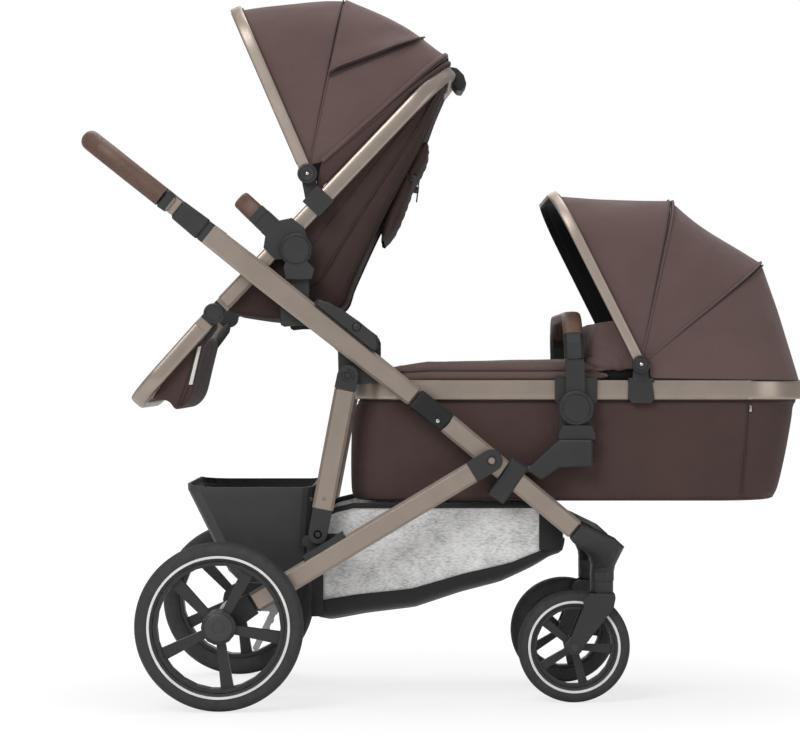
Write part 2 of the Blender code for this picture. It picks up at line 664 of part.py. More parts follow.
def strut(name, side):
    """A folding strut: flat tube with a moulded, rounded end at each pivot."""
    top = math.degrees(math.atan2(STRUT_FOOT[1] - STRUT_TOP[1], STRUT_FOOT[0] - STRUT_TOP[0]))
    length = math.dist(STRUT_TOP, STRUT_FOOT)
    tube = bevel(plate(bar(STRUT_TOP, top, 0.022, length - 0.040, STRUT_WIDTH),
                       side * (STRUT_Y[0] + 0.0005), side * (STRUT_Y[1] - 0.0005)), 0.005, 1)
    head = arc(STRUT_TOP, 0.0185, top + 90.0, top + 270.0, 8)
    head += [along(STRUT_TOP, top, 0.025, -0.0190), along(STRUT_TOP, top, 0.025, 0.0190)]
    foot = arc(STRUT_FOOT, 0.0165, top - 90.0, top + 90.0, 8)
    foot += [along(STRUT_FOOT, top, -0.044, 0.0170), along(STRUT_FOOT, top, -0.044, -0.0170)]
    for shape in (head, foot):
        join(tube, plate(shape, side * STRUT_Y[0], side * STRUT_Y[1]))
    rivet = along(STRUT_FOOT, top, -0.062)
    cut(tube, pin(STRUT_TOP, side, 0.21, 0.26, 0.0060 + 2 * GAP, 12),
        pin(STRUT_FOOT, side, 0.21, 0.26, 0.0075, 12), pin(rivet, side, 0.2400, 0.26, 0.0035, 8))
    return keep(tube, name, 'champagne_metal', (STRUT_TOP[0], 0.0, STRUT_TOP[1]))


# Wheels and casters

def tyre(name, wheel, centre, side, steps):
    """A tyre turned from its section: flat tread, rounded shoulders, flat bead."""
    r = wheel['radius'] / math.cos(math.pi / steps)
    bead, half = wheel['bead'] + GAP, wheel['width'] / 2
    section = [(r, 0.35 * half), (r, -0.35 * half), (r - 0.005, -0.80 * half), (r - 0.014, -half),
               (bead, -0.78 * half), (bead, 0.78 * half), (r - 0.014, half), (r - 0.005, 0.80 * half)]
    solid = turned(section, steps, centre, side)
    return keep(solid, name, 'tyre_rubber', centre)


def wheel_rim(name, wheel, centre, side, steps, first, bore, sealed):
    """A rim ring with chamfered spokes and a capped hub."""
    outer, inner, half = wheel['bead'], wheel['rim'], 0.78 * wheel['width'] / 2 - 0.001
    ring = [(outer, half), (outer, -half), (inner, -half), (inner, half)]
    rim = turned(ring, steps, centre, side)
    hub, out = wheel['hub'], wheel['width'] / 2 - 0.0012
    in_face = -wheel['width'] / 2 + (0.0005 if sealed else 0.004)
    top = out if sealed else out - 0.004
    profile = [(0.0, top), (hub - 0.0060, top), (hub - 0.0050, top - 0.0020), (hub, top - 0.0040),
               (hub, in_face + 0.004), (hub - 0.004, in_face), (0.0, in_face)]
    spokes = []
    for i in range(SPOKES):
        angle = first + 360.0 * i / SPOKES
        mid = (centre[0], centre[2])
        wide = 0.0110 if sealed else 0.0080
        slim = 0.68 * wide
        outline = [along(mid, angle, hub - 0.006, slim), along(mid, angle, hub - 0.006, -slim),
                   along(mid, angle, outer - 0.003, -wide), along(mid, angle, outer - 0.003, wide)]
        spoke = plate(outline, centre[1] - side * 0.35 * half, centre[1] + side * 0.62 * half)
        spokes.append(spoke)
    join(rim, turned(profile, 14, centre, side), *spokes)
    start = (centre[0], centre[1] - side * wheel['width'], centre[2])
    end = (centre[0], centre[1] + side * (bore[1] if sealed else wheel['width']), centre[2])
    cut(rim, rod(start, end, bore[0], 10))
    return keep(rim, name, 'black_plastic', centre)


def caster_fork(name, side):
    """A swivel fork: stem and crown above, two ribbed blades down to the axle bolt."""
    y = CASTER_Y
    blade = [(0.2450, 0.1700), (0.2435, 0.1810), (0.2500, 0.1890), (0.2600, 0.1935), (0.2990, 0.1935),
             (0.3005, 0.1855), (0.2970, 0.1676), (0.2600, 0.1200)]
    blade += arc(FRONT_AXLE, 0.0130, 345.0, 175.0, 7)
    fork = plate(blade, side * (y - FORK_OUT), side * (y + FORK_OUT))
    crown = rod((SWIVEL_X, side * y, 0.1820), (SWIVEL_X, side * y, CROWN_TOP), 0.0205, 20)
    stem = rod((SWIVEL_X, side * y, 0.2000), (SWIVEL_X, side * y, 0.2400), 0.0080, 12)
    join(fork, crown)
    tunnel = pin(FRONT_AXLE, side, y - FORK_IN, y + FORK_IN, 0.1030, 32)
    cut(fork, tunnel)
    join(fork, stem, pin(FRONT_AXLE, side, y - FORK_OUT + 0.002, y + FORK_OUT - 0.002, 0.0040, 8))
    for face in (-1, 1):
        near, far = y + face * (FORK_OUT - 0.001), y + face * (FORK_OUT + 0.0015)
        boss = pin(FRONT_AXLE, side, near, far, 0.0070, 12)
        join(fork, boss)
    return keep(fork, name, 'black_plastic', (SWIVEL_X, side * y, CROWN_TOP))


def front_casting(name, side):
    """The moulded corner from the lower tube's end down to the caster's socket."""
    stations = (((0.2396, 0.3196), (0.2166, 0.2932), 0.2350, 0.0135),
                ((0.2480, 0.3165), (0.2222, 0.2858), 0.2340, 0.0145),
                ((0.2700, 0.3060), (0.2350, 0.2755), 0.2260, 0.0170),
                ((0.2960, 0.2935), (0.2450, 0.2672), 0.2120, 0.0200),
                ((0.3150, 0.2765), (0.2521, 0.2580), 0.1940, 0.0215),
                ((0.3075, 0.2580), (0.2570, 0.2450), 0.1750, 0.0220),
                ((0.3010, 0.2420), (0.2575, 0.2350), 0.1640, 0.0215),
                ((0.2990, 0.2300), (0.2570, 0.2300), 0.1600, 0.0210),
                ((0.2990, 0.2150), (0.2570, 0.2150), 0.1600, 0.0210))
    shift = along((0.0, 0.0), LOWER_ANGLE, GAP + 0.0002)
    rings = []
    for top, bottom, y, half in stations:
        rings.append(oval_ring((top[0] + shift[0], top[1] + shift[1]),
                               (bottom[0] + shift[0], bottom[1] + shift[1]), side * y, half, 2.8, 16))
    casting = loft(rings)
    x, y = SWIVEL_X, side * CASTER_Y
    cut(casting, rod((x, y, 0.20), (x, y, 0.2430), 0.0080 + 0.0006, 12),
        rod((0.2790, side * 0.10, 0.2560), (0.2790, side * 0.1880, 0.2560), 0.0105 + GAP, 16))
    return keep(casting, name, 'black_plastic')


def front_cross_tube():
    """The cross tube that ties the two front corners together."""
    tube = rod((0.2790, -0.1875, 0.2560), (0.2790, 0.1875, 0.2560), 0.0105, 16)
    return keep(tube, 'front_cross_tube', 'black_plastic')


def adapter(name, side):
    """The carrycot adapter: a collar clamped round the lower tube and an arm with a socket."""
    collar = [(0.1164, 0.4332), (0.1454, 0.4150), (0.1018, 0.3519), (0.0738, 0.3713)]
    collar = bevel(plate(collar, side * 0.2195, side * 0.2505), 0.003, 1)
    arm = [(0.1250, 0.4230), (0.1470, 0.4170), (0.1938, 0.4600), (0.1960, 0.4637), (0.2568, 0.4637),
           (0.2568, 0.4166), (0.1981, 0.4150), (0.1666, 0.3930), (0.1490, 0.4060), (0.1300, 0.4080)]
    arm = bevel(plate(arm, side * 0.2100, side * 0.2440), 0.003, 1)
    tube = plate(bar(LOWER_START, LOWER_ANGLE, -0.02, 0.30, TUBE_DEPTH + 2 * GAP),
                 side * (TUBE_Y - TUBE_WIDTH / 2 - GAP), side * (TUBE_Y + TUBE_WIDTH / 2 + GAP))
    pocket = block((0.2107, side * 0.2147, 0.4410), (0.2463, side * 0.2313, 0.4700))
    join(collar, arm)
    cut(collar, tube, pocket)
    return keep(collar, name, 'black_plastic')


# Shopping basket

BASKET_TOP = ((-0.2323, 0.2950), (-0.2000, 0.3400), (-0.1580, 0.3500), (0.1650, 0.3500), (0.2130, 0.3380))
BASKET_BASE = ((-0.2323, 0.1400), (-0.1346, 0.1583), (-0.0512, 0.1685), (0.0290, 0.1952), (0.0992, 0.2135),
               (0.1493, 0.2369), (0.1860, 0.2570), (0.2130, 0.2600))
BASKET_HALF = 0.1990


def basket():
    """The fabric basket slung under the carrycot: an open shell with a sagging base."""
    levels = ((0.0, 1.0, 1.0), (0.30, 0.995, 0.995), (0.75, 0.985, 0.97), (0.96, 0.94, 0.89),
              (1.0, 0.86, 0.75), (1.0, 0.50, 0.35))
    x_mid = (BASKET_BASE[0][0] + BASKET_BASE[-1][0]) / 2
    x_half = (BASKET_BASE[-1][0] - BASKET_BASE[0][0]) / 2
    rows = []
    for drop, long, wide in levels:
        plan = rounded_plan(x_mid - x_half * long, x_mid + x_half * long, BASKET_HALF * wide,
                            0.035 * wide, 0.035 * wide, 3)
        full = []
        for i, (x, y) in enumerate(plan):
            nx, ny = plan[(i + 1) % len(plan)]
            parts = 5 if abs(nx - x) > 0.2 * x_half else 1
            full += [(x + (nx - x) * k / parts, y + (ny - y) * k / parts) for k in range(parts)]
        row = []
        for x, y in full:
            top = blend_value(x, BASKET_TOP)
            base = blend_value(x, BASKET_BASE)
            row.append((x, y, top + (base - top) * drop))
        rows.append(row)
    solid = sheet(rows, 0.0030, (0.0, 0.0, 0.32), closed_end=True, loop=True)
    return keep(solid, 'basket', 'mesh_fabric')


# Seat unit

def seat_hub(name, side):
    """The seat's foot: a plug for the mount's socket, a cranked post and the hub disc."""
    foot = plate([(-0.2750, 0.7003), (-0.2750, 0.7520), (-0.2660, 0.7580), (-0.2440, 0.7580),
                  (-0.2350, 0.7520), (-0.2350, 0.7003)], side * 0.1975, side * 0.2210)
    post = plate([(-0.2750, 0.7420), (-0.2790, 0.7640), (-0.2740, 0.7750), (-0.2400, 0.7750),
                  (-0.2250, 0.7600), (-0.2310, 0.7420)], side * 0.2222, side * 0.2342)
    bridge = plate([(-0.2720, 0.7440), (-0.2720, 0.7510), (-0.2380, 0.7510), (-0.2380, 0.7440)],
                   side * 0.2150, side * 0.2300)
    disc = bevel(pin(SEAT_HUB, side, 0.2225, 0.2350, HUB_RADIUS, 24), 0.003, 1)
    axle = pin(SEAT_HUB, side, 0.2010, 0.2240, 0.0080, 12)
    plug = block((-0.2670, side * 0.2037, 0.6780), (-0.2430, side * 0.2148, 0.7100))
    join(foot, post, bridge, disc, axle, plug)
    return keep(foot, name, 'black_plastic', (SEAT_HUB[0], 0.0, SEAT_HUB[1]))


def seat_tube():
    """The seat's hoop of flat tube, with its hub blocks, bumper sockets and footrest hinges."""
    place = leaning_plane(SEAT_HINGE, SEAT_ANGLE)
    middle = (SEAT_Y[0] + SEAT_Y[1]) / 2
    width = SEAT_Y[1] - SEAT_Y[0]
    hoop_path = hoop(middle, SEAT_LENGTH, SEAT_CORNER, 0.026, 4)
    tube = rail(hoop_path, width, SEAT_TUBE_DEPTH, place, 0.3, 1)
    for side in (RIGHT, LEFT):
        body = [(-0.2438, 0.8321), (-0.2652, 0.8493), along(SEAT_HUB, BUMPER_ANGLE, 0.0560, -0.0180),
                along(SEAT_HUB, BUMPER_ANGLE, 0.0820, -0.0180), along(SEAT_HUB, BUMPER_ANGLE, 0.0820, 0.0180),
                along(SEAT_HUB, BUMPER_ANGLE, 0.0560, 0.0180), (-0.3144, 0.7974), (-0.2930, 0.7762)]
        body += arc(SEAT_HUB, 0.0270, 215.0, 395.0, 8)
        body = plate(body, side * 0.1968, side * 0.2217)
        lug = pin(SEAT_HINGE, side, SEAT_Y[0], 0.2062, 0.0174)
        neck = plate(bar(SEAT_HINGE, SEAT_ANGLE, 0.0, 0.030, 0.026), side * SEAT_Y[0], side * 0.2062)
        join(tube, body, lug, neck, pin(SEAT_HINGE, side, 0.2000, 0.2200, 0.0050, 12))
        cut(tube, pin(SEAT_HUB, side, 0.1900, 0.2300, 0.0080 + 2 * GAP, 12))
        socket = plate(bar(SEAT_HUB, BUMPER_ANGLE, 0.0570, 0.0900, 0.0246),
                       side * 0.2018, side * 0.2172)
        cut(tube, socket)
    return keep(tube, 'seat_tube', 'champagne_metal', (SEAT_HUB[0], 0.0, SEAT_HUB[1]))


SEAT_DEPTHS = ((0.03373, 0.0220), (0.10236, 0.0800), (0.157, 0.1140), (0.26695, 0.1525), (0.34739, 0.1365),
               (0.48567, 0.1080), (0.62395, 0.0830), (0.80287, 0.0530), (0.89376, 0.0310), (0.96459, 0.0160))
SEAT_SECTION = ((1.000, 0.00), (0.990, 0.30), (0.970, 0.62), (0.925, 0.86), (0.820, 0.97), (0.400, 1.00))
SEAT_WIDTHS = ((0.0, 0.1962), (0.80287, 0.1962), (0.89376, 0.1860), (0.96459, 0.1500))


def seat_fabric():
    """The padded seat sling: a scoop hung inside the hoop, deep at the seat and shallow at the top."""
    rows = []
    direction = math.radians(SEAT_ANGLE)
    for share, depth in SEAT_DEPTHS:
        reach = share * SEAT_LENGTH
        half = [(blend_value(share, SEAT_WIDTHS) * wide, depth * drop) for wide, drop in SEAT_SECTION]
        row = [(-y, d) for y, d in half] + [(y, d) for y, d in reversed(half)]
        points = []
        for y, d in row:
            x = SEAT_HINGE[0] + reach * math.cos(direction) + d * math.sin(direction)
            z = SEAT_HINGE[1] + reach * math.sin(direction) - d * math.cos(direction)
            points.append((x, y, z))
        rows.append(points)
    solid = sheet(rows, 0.0060, (-0.25, 0.0, 0.95))
    roll = [(-0.0330, 0.9950), (-0.0215, 0.9830), (-0.0200, 0.9740), (-0.0345, 0.9420), (-0.0500, 0.9080),
            (-0.0723, 0.8549), (-0.0860, 0.8190), (-0.1000, 0.8060), (-0.1090, 0.8080), (-0.1205, 0.8321),
            (-0.0425, 0.9825)]
    join(solid, bevel(plate(roll, -0.1500, 0.1500), 0.006, 2, 50))
    return keep(solid, 'seat_fabric', 'brown_fabric', (SEAT_HUB[0], 0.0, SEAT_HUB[1]))


def recline_lever():
    """The squeeze lever behind the top of the seat hoop."""
    place = along(SEAT_HINGE, SEAT_ANGLE, SEAT_LENGTH + 0.0095)
    shape = ((-0.0002, 0.0090), (0.0095, 0.0075), (0.0150, -0.0020), (0.0145, -0.0190), (0.0060, -0.0340),
             (-0.0090, -0.0370), (-0.0140, -0.0300), (-0.0120, -0.0147), (-0.0002, -0.0147))
    lever = [along(place, SEAT_ANGLE, reach, rise) for reach, rise in shape]
    lever = bevel(plate(lever, -0.0450, 0.0450), 0.002, 2)
    return keep(lever, 'recline_lever', 'black_plastic', (place[0], 0.0, place[1]))


def footrest_pieces():
    """The footrest's hoop and the calf pad slung in it."""
    place = leaning_plane(SEAT_HINGE, FOOTREST_ANGLE)
    middle = (SEAT_Y[0] + SEAT_Y[1]) / 2
    path = hoop(middle, FOOTREST_LENGTH, 0.060, 0.026, 3)
    tube = rail(path, SEAT_Y[1] - SEAT_Y[0], 0.0280, place, 0.3, 1)
    for side in (RIGHT, LEFT):
        disc = pin(SEAT_HINGE, side, 0.2066, 0.2215, 0.0174, 18)
        neck = plate(bar(SEAT_HINGE, FOOTREST_ANGLE, 0.0, 0.034, 0.026), side * 0.2070, side * 0.2175)
        join(tube, disc, neck)
        cut(tube, pin(SEAT_HINGE, side, 0.2040, 0.2206, 0.0050 + GAP, 12))
    keep(tube, 'footrest_tube', 'champagne_metal', (SEAT_HINGE[0], 0.0, SEAT_HINGE[1]))
    outline = [along(SEAT_HINGE, FOOTREST_ANGLE, reach, drop)
               for reach, drop in ((0.0400, 0.0040), (0.1300, 0.0040), (0.1500, 0.0152), (0.1880, 0.0152))]
    outline += [(-0.5060, 0.5330), (-0.4900, 0.5320), (-0.4790, 0.5290),
               (-0.4700, 0.5150), (-0.4560, 0.5200), (-0.4450, 0.5330), (-0.4374, 0.5550), (-0.4280, 0.5960),
               (-0.4170, 0.6390)]
    pad = bevel(plate(outline, -0.1966, 0.1966), 0.004, 2, 50)
    keep(pad, 'footrest_fabric', 'brown_fabric', (SEAT_HINGE[0], 0.0, SEAT_HINGE[1]))


def bumper_pieces():
    """The bumper bar, plugged into the seat's hub blocks, and its leather sleeve."""
    place = leaning_plane(SEAT_HUB, BUMPER_ANGLE)
    middle = 0.2095
    reach = 0.1290
    path = hoop(middle, reach, 0.0310, 0.0850, 4)
    core = rail(path, 0.0090, 0.0240, place, 0.45, 1)
    for side in (RIGHT, LEFT):
        arm = plate(bar(SEAT_HUB, BUMPER_ANGLE, 0.0823, 0.0960, 0.0350), side * 0.1990, side * 0.2200)
        plug = plate(bar(SEAT_HUB, BUMPER_ANGLE, 0.0600, 0.0900, 0.0240), side * 0.2021, side * 0.2169)
        join(core, arm, plug)
    keep(core, 'bumper_bar', 'black_plastic', (SEAT_HUB[0], 0.0, SEAT_HUB[1]))
    path = hoop(middle, reach, 0.0310, 0.0963, 4)
    grip = rail(path, 0.0096 + 0.0080, 0.0246 + 0.0080, place, 0.40, 1, capped=False)
    wall = grip.modifiers.new('wall', 'SOLIDIFY')
    wall.thickness = 0.0040
    wall.offset = -1.0
    keep(grip, 'bumper_grip', 'leather', (SEAT_HUB[0], 0.0, SEAT_HUB[1]))


# Canopies

def canopy_tab(pivot, base, anchor, side, y_out):
    """The tab and pin that carry a canopy's bows, from an anchor outline beside the pivot."""
    tab = plate(arc(pivot, 0.0120, anchor[0], anchor[1], 10) + anchor[2],
                side * (base + BOW_TAB[0]), side * (base + BOW_TAB[1]))
    return [tab, pin(pivot, side, base, base + y_out, 0.0040, 8)]


def bow(name, pivot, angle, reach, base, layer, band, corner, root):
    """A canopy bow: a flat strip bent over the pram, with an eye on the pivot pin at each end."""
    inner, outer = base + layer[0], base + layer[1]
    middle = (inner + outer) / 2
    thick = outer - inner
    place = leaning_plane(pivot, angle)
    path = hoop(middle, reach - thick / 2, corner, 0.5 * root, 4)
    strip = rail(path, thick, band, place, 0.3, 0)
    bore = (0.0040 + GAP) / math.cos(math.pi / 8)
    for side in (RIGHT, LEFT):
        join(strip, pin(pivot, side, inner, outer, root, 16))
        cut(strip, pin(pivot, side, inner - 0.004, outer + 0.004, bore, 8))
    return keep(strip, name, 'champagne_metal', (pivot[0], 0.0, pivot[1]))


def hood(name, pivot, base, ribs, corner, count):
    """The canopy cloth: one sheet over its ribs, drawn in a little between them."""
    y_leg = base + BOW_CLOTH[1]
    rows = []
    for (a0, r0, f0), (a1, r1, f1) in zip(ribs, ribs[1:]):
        for i in range(count):
            t = i / count
            drawn_in = 0.036 * t * (1 - t)
            rows.append((a0 + (a1 - a0) * t, r0 + (r1 - r0) * t - drawn_in, f0 + (f1 - f0) * t))
    rows.append(ribs[-1])
    surface = []
    for angle, reach, start in rows:
        a = math.radians(angle)
        path = hoop(y_leg, reach, corner, start, 4)
        fuller = [path[0]]
        for k in (1, 2):
            fuller.append((path[0][0] + (path[1][0] - path[0][0]) * k / 3, path[0][1]))
        fuller += path[1:6]
        fuller += [(path[5][0], path[5][1] + (path[6][1] - path[5][1]) * k / 3) for k in (1, 2)]
        fuller += path[6:11]
        for k in (2, 1):
            fuller.append((path[-1][0] + (path[-2][0] - path[-1][0]) * k / 3, path[-1][1]))
        fuller.append(path[-1])
        surface.append([(pivot[0] + u * math.cos(a), y, pivot[1] + u * math.sin(a)) for u, y in fuller])
    solid = sheet(surface, BOW_CLOTH[1] - BOW_CLOTH[0], (pivot[0], 0.0, pivot[1]))
    return keep(solid, name, 'brown_fabric', (pivot[0], 0.0, pivot[1]))


def canopy_clip(name, side):
    """The clamp on the seat hoop that carries the canopy's pivot, with its two lock studs."""
    pivot, base = SEAT_PIVOT, SEAT_BOW_Y
    start = along(SEAT_HINGE, SEAT_ANGLE, 0.2480)
    clip = [along(start, SEAT_ANGLE, 0.0, 0.0225), along(start, SEAT_ANGLE, 0.0, -0.0170),
            along(start, SEAT_ANGLE, 0.0380, -0.0170), along(start, SEAT_ANGLE, 0.0380, 0.0225)]
    clip = plate(clip, side * 0.1968, side * 0.2205)
    anchor = (20.0, 190.0,
              [along(start, SEAT_ANGLE, 0.0030, 0.0180), along(start, SEAT_ANGLE, 0.0330, 0.0180)])
    join(clip, *canopy_tab(pivot, base, anchor, side, 0.0225))
    join(clip, pin(pivot, side, base + BOW_FRONT[1] + GAP, base + 0.0225, 0.0060, 16))
    tube = plate(bar(SEAT_HINGE, SEAT_ANGLE, 0.20, 0.34, SEAT_TUBE_DEPTH + 2 * GAP),
                 side * 0.18, side * (SEAT_Y[1] + GAP))
    cut(clip, tube)
    return keep(clip, name, 'black_plastic', (SEAT_HUB[0], 0.0, SEAT_HUB[1]))


def seat_canopy():
    """The seat's sun canopy: two turning bows, and the cloth from them back to the hoop."""
    bows = SEAT_BOWS
    bow('seat_bow_front', SEAT_PIVOT, *bows['front'], SEAT_BOW_Y, BOW_FRONT, 0.0200, 0.0850, 0.0150)
    bow('seat_bow_mid', SEAT_PIVOT, bows['mid'][0], bows['mid'][1] - 0.0040, SEAT_BOW_Y, BOW_MID, 0.0100,
        0.0740, 0.0110)
    ribs = ((bows['front'][0] - 2.4, bows['front'][1] - 0.0060, 0.050), (*bows['mid'], 0.040),
            (*bows['rear'], 0.060))
    hood('seat_hood', SEAT_PIVOT, SEAT_BOW_Y, ribs, 0.0800, 3)


# Carrycot

COT_BLOCK_Y = (0.2108, 0.2187)
CARRY_Y = (0.2193, 0.2285)
COT_DISC_Y = (0.2288, 0.2350)
CARRY_ANGLE = 92.0
CARRY_REACH = 0.1604
APRON_CROWN = ((-0.1478, 0.5669), (-0.1200, 0.5830), (-0.0770, 0.5943), (0.0103, 0.6015), (0.1000, 0.6040),
               (0.2000, 0.6058), (0.2400, 0.6060))
APRON_HALF = 0.2018


def cot_rail():
    """The carrycot's rail: a flat hoop in plan, with the two canopy brackets on it."""
    middle_z = (RAIL_Z[0] + RAIL_Z[1]) / 2
    half = RAIL_WALL / 2
    path = rounded_plan(RAIL_X[0] + half, RAIL_X[1] - half, RAIL_Y - half, 0.070, 0.102, 4)
    hoop_rail = rail(path, RAIL_WALL, RAIL_Z[1] - RAIL_Z[0], Matrix.Translation((0.0, 0.0, middle_z)),
                     0.3, 0, cyclic=True, capped=False)
    x = COT_PIVOT[0]
    for side in (RIGHT, LEFT):
        bracket = [(x - 0.0210, 0.5710), (x + 0.0190, 0.5710), (x + 0.0240, 0.5360), (x + 0.0180, 0.5270),
                   (x - 0.0160, 0.5270), (x - 0.0220, 0.5360)]
        bracket = plate(bracket, side * (RAIL_Y - 0.0043), side * 0.2158)
        foot = [(x - 0.0150, 0.5650), (x + 0.0150, 0.5650)]
        tab = canopy_tab(COT_PIVOT, COT_BOW_Y, (0.0, 180.0, foot), side, 0.0225)
        head = pin(COT_PIVOT, side, COT_BOW_Y + BOW_FRONT[1] + GAP, COT_BOW_Y + 0.0225, 0.0060, 16)
        join(hoop_rail, bracket, head, *tab)
    return keep(hoop_rail, 'cot_rail', 'champagne_metal', (COT_HUB[0], 0.0, COT_HUB[1]))


def cot_body():
    """The carrycot's padded fabric tub, hung from the rail and open at the top."""
    levels = ((0.5605, -0.1480, 0.6275, 0.2020), (0.5330, -0.1480, 0.6270, 0.2020),
              (0.5310, -0.1530, 0.6230, 0.2030), (0.4950, -0.1610, 0.6180, 0.2045),
              (0.4393, -0.1634, 0.6080, 0.2045), (0.3850, -0.1630, 0.5960, 0.2040),
              (0.3640, -0.1600, 0.5880, 0.2020), (0.3556, -0.1500, 0.5760, 0.1940))
    rows = []
    for z, x_low, x_high, half in levels:
        rows.append([(x, y, z) for x, y in rounded_plan(x_low, x_high, half, 0.0655, 0.0975, 4)])
    tub = sheet(rows, 0.0070, (0.2, 0.0, 0.52), closed_end=True, loop=True)
    return keep(tub, 'cot_body', 'brown_fabric', (COT_HUB[0], 0.0, COT_HUB[1]))


def cot_apron():
    """The carrycot's cover: a crowned sheet over the foot half, and its standing wind flap."""
    plan = rounded_plan(-0.1478, 0.2400, APRON_HALF, 0.0653, 0.012, 4)
    rows = []
    for scale in (1.0, 0.94, 0.82, 0.60, 0.30):
        row = []
        for x, y in plan:
            px = 0.0461 + (x - 0.0461) * scale
            py = y * scale
            crown = blend_value(px, APRON_CROWN) - 0.5669
            row.append((px, py, 0.5669 + crown * (1 - (abs(py) / APRON_HALF) ** 2.2)))
        rows.append(row)
    cover = sheet(rows, 0.0058, (0.05, 0.0, 0.2), closed_end=True, loop=True)
    flap = []
    for t in (0.0, 0.45, 0.75, 0.92, 1.0):
        half = 0.190 - 0.085 * max(0.0, (t - 0.45) / 0.55) ** 2.4
        x = 0.2250 + 0.063 * t - 0.008 * math.sin(math.pi * t)
        flap.append([(x + 0.030 * (i / 4 - 1) ** 2 * t, half * (i / 4 - 1), 0.5740 + 0.0980 * t)
                     for i in range(9)])
    join(cover, sheet(flap, 0.0070, (0.6, 0.0, 0.6), offset=0.0))
    return keep(cover, 'cot_apron', 'brown_fabric', (COT_HUB[0], 0.0, COT_HUB[1]))


def cot_hub(name, side):
    """The carrycot's hub: rail block, foot with its plug, and the disc that caps the handle's pivot."""
    block_plate = [(0.1928, 0.5710), (0.2664, 0.5710), (0.2664, 0.5310), (0.2560, 0.5200), (0.2560, 0.4980),
                   (0.2612, 0.4870), (0.2612, 0.4650), (0.1988, 0.4650), (0.1988, 0.4870), (0.2020, 0.4980),
                   (0.2020, 0.5200), (0.1928, 0.5310)]
    hub = plate(block_plate, side * COT_BLOCK_Y[0], side * COT_BLOCK_Y[1])
    foot = [(0.2620, 0.4640), (0.1980, 0.4640), (0.1980, 0.4740), (0.2050, 0.4885), (0.2540, 0.4885),
            (0.2620, 0.4740)]
    foot = plate(foot, side * (COT_BLOCK_Y[0] + 0.0003), side * (COT_DISC_Y[1] - 0.0004))
    disc = bevel(pin(COT_HUB, side, COT_DISC_Y[0], COT_DISC_Y[1], COT_HUB_RADIUS, 24), 0.0025, 1)
    axle = pin(COT_HUB, side, 0.2150, 0.2300, 0.0120, 12)
    plug = block((0.2120, side * 0.2160, 0.4440), (0.2450, side * 0.2300, 0.4700))
    join(hub, foot, disc, axle, plug)
    return keep(hub, name, 'black_plastic', (COT_HUB[0], 0.0, COT_HUB[1]))


def step_along(first, second, distance):
    """The point a distance from the first towards the second."""
    share = distance / math.dist(first, second)
    return (first[0] + (second[0] - first[0]) * share, first[1] + (second[1] - first[1]) * share)


def carry_pieces():
    """The carry handle, from one hub over to the other, and its leather sleeve."""
    place = leaning_plane(COT_HUB, CARRY_ANGLE)
    middle = (CARRY_Y[0] + CARRY_Y[1]) / 2
    thick = CARRY_Y[1] - CARRY_Y[0]
    path = hoop(middle, CARRY_REACH, 0.070, 0.030, 5)
    core = rail(path, thick - 0.0002, 0.0254, place, 0.45, 1)
    for side in (RIGHT, LEFT):
        leg = bar(COT_HUB, CARRY_ANGLE, 0.018, 0.0850, 0.0330)
        eye = pin(COT_HUB, side, CARRY_Y[0] + 0.0002, CARRY_Y[1] - 0.0002, 0.0272, 20)
        join(core, plate(leg, side * CARRY_Y[0], side * CARRY_Y[1]), eye)
    for ends in (path[:4], path[-4:][::-1]):
        beyond = path[4] if ends[0] == path[0] else path[-5]
        shoulder = [step_along(ends[0], ends[1], 0.0560), ends[1], ends[2], ends[3],
                    step_along(ends[3], beyond, 0.0010)]
        join(core, rail(shoulder, thick + 0.0070, 0.0345, place, 0.35, 1))
    for side in (RIGHT, LEFT):
        cut(core, pin(COT_HUB, side, CARRY_Y[0] - 0.01, CARRY_Y[1] + 0.01, 0.0120 + 2 * GAP, 12))
    keep(core, 'carry_handle', 'black_plastic', (COT_HUB[0], 0.0, COT_HUB[1]))
    first = step_along(path[3], path[4], 0.0010 + GAP)
    last = step_along(path[-4], path[-5], 0.0010 + GAP)
    sleeve = [first] + path[4:-4] + [last]
    grip = rail(sleeve, thick + 0.0006 + 0.0080, 0.0254 + 0.0006 + 0.0080, place, 0.35, 1, capped=False)
    wall = grip.modifiers.new('wall', 'SOLIDIFY')
    wall.thickness = 0.0040
    wall.offset = -1.0
    keep(grip, 'carry_grip', 'leather', (COT_HUB[0], 0.0, COT_HUB[1]))


def cot_canopy():
    """The carrycot's canopy: two turning bows, and the cloth on to the rail's far end."""
    bows = COT_BOWS
    bow('cot_bow_front', COT_PIVOT, *bows['front'], COT_BOW_Y, BOW_FRONT, 0.0170, 0.0900, 0.0130)
    bow('cot_bow_mid', COT_PIVOT, bows['mid'][0], bows['mid'][1] - 0.0040, COT_BOW_Y, BOW_MID, 0.0100,
        0.0790, 0.0100)
    ribs = ((bows['front'][0] - 2.4, bows['front'][1] - 0.0060, 0.050), (*bows['mid'], 0.040),
            (*bows['rear'], 0.050), (*bows['edge'], 0.070))
    hood('cot_hood', COT_PIVOT, COT_BOW_Y, ribs, 0.0850, 2)


# The whole pram

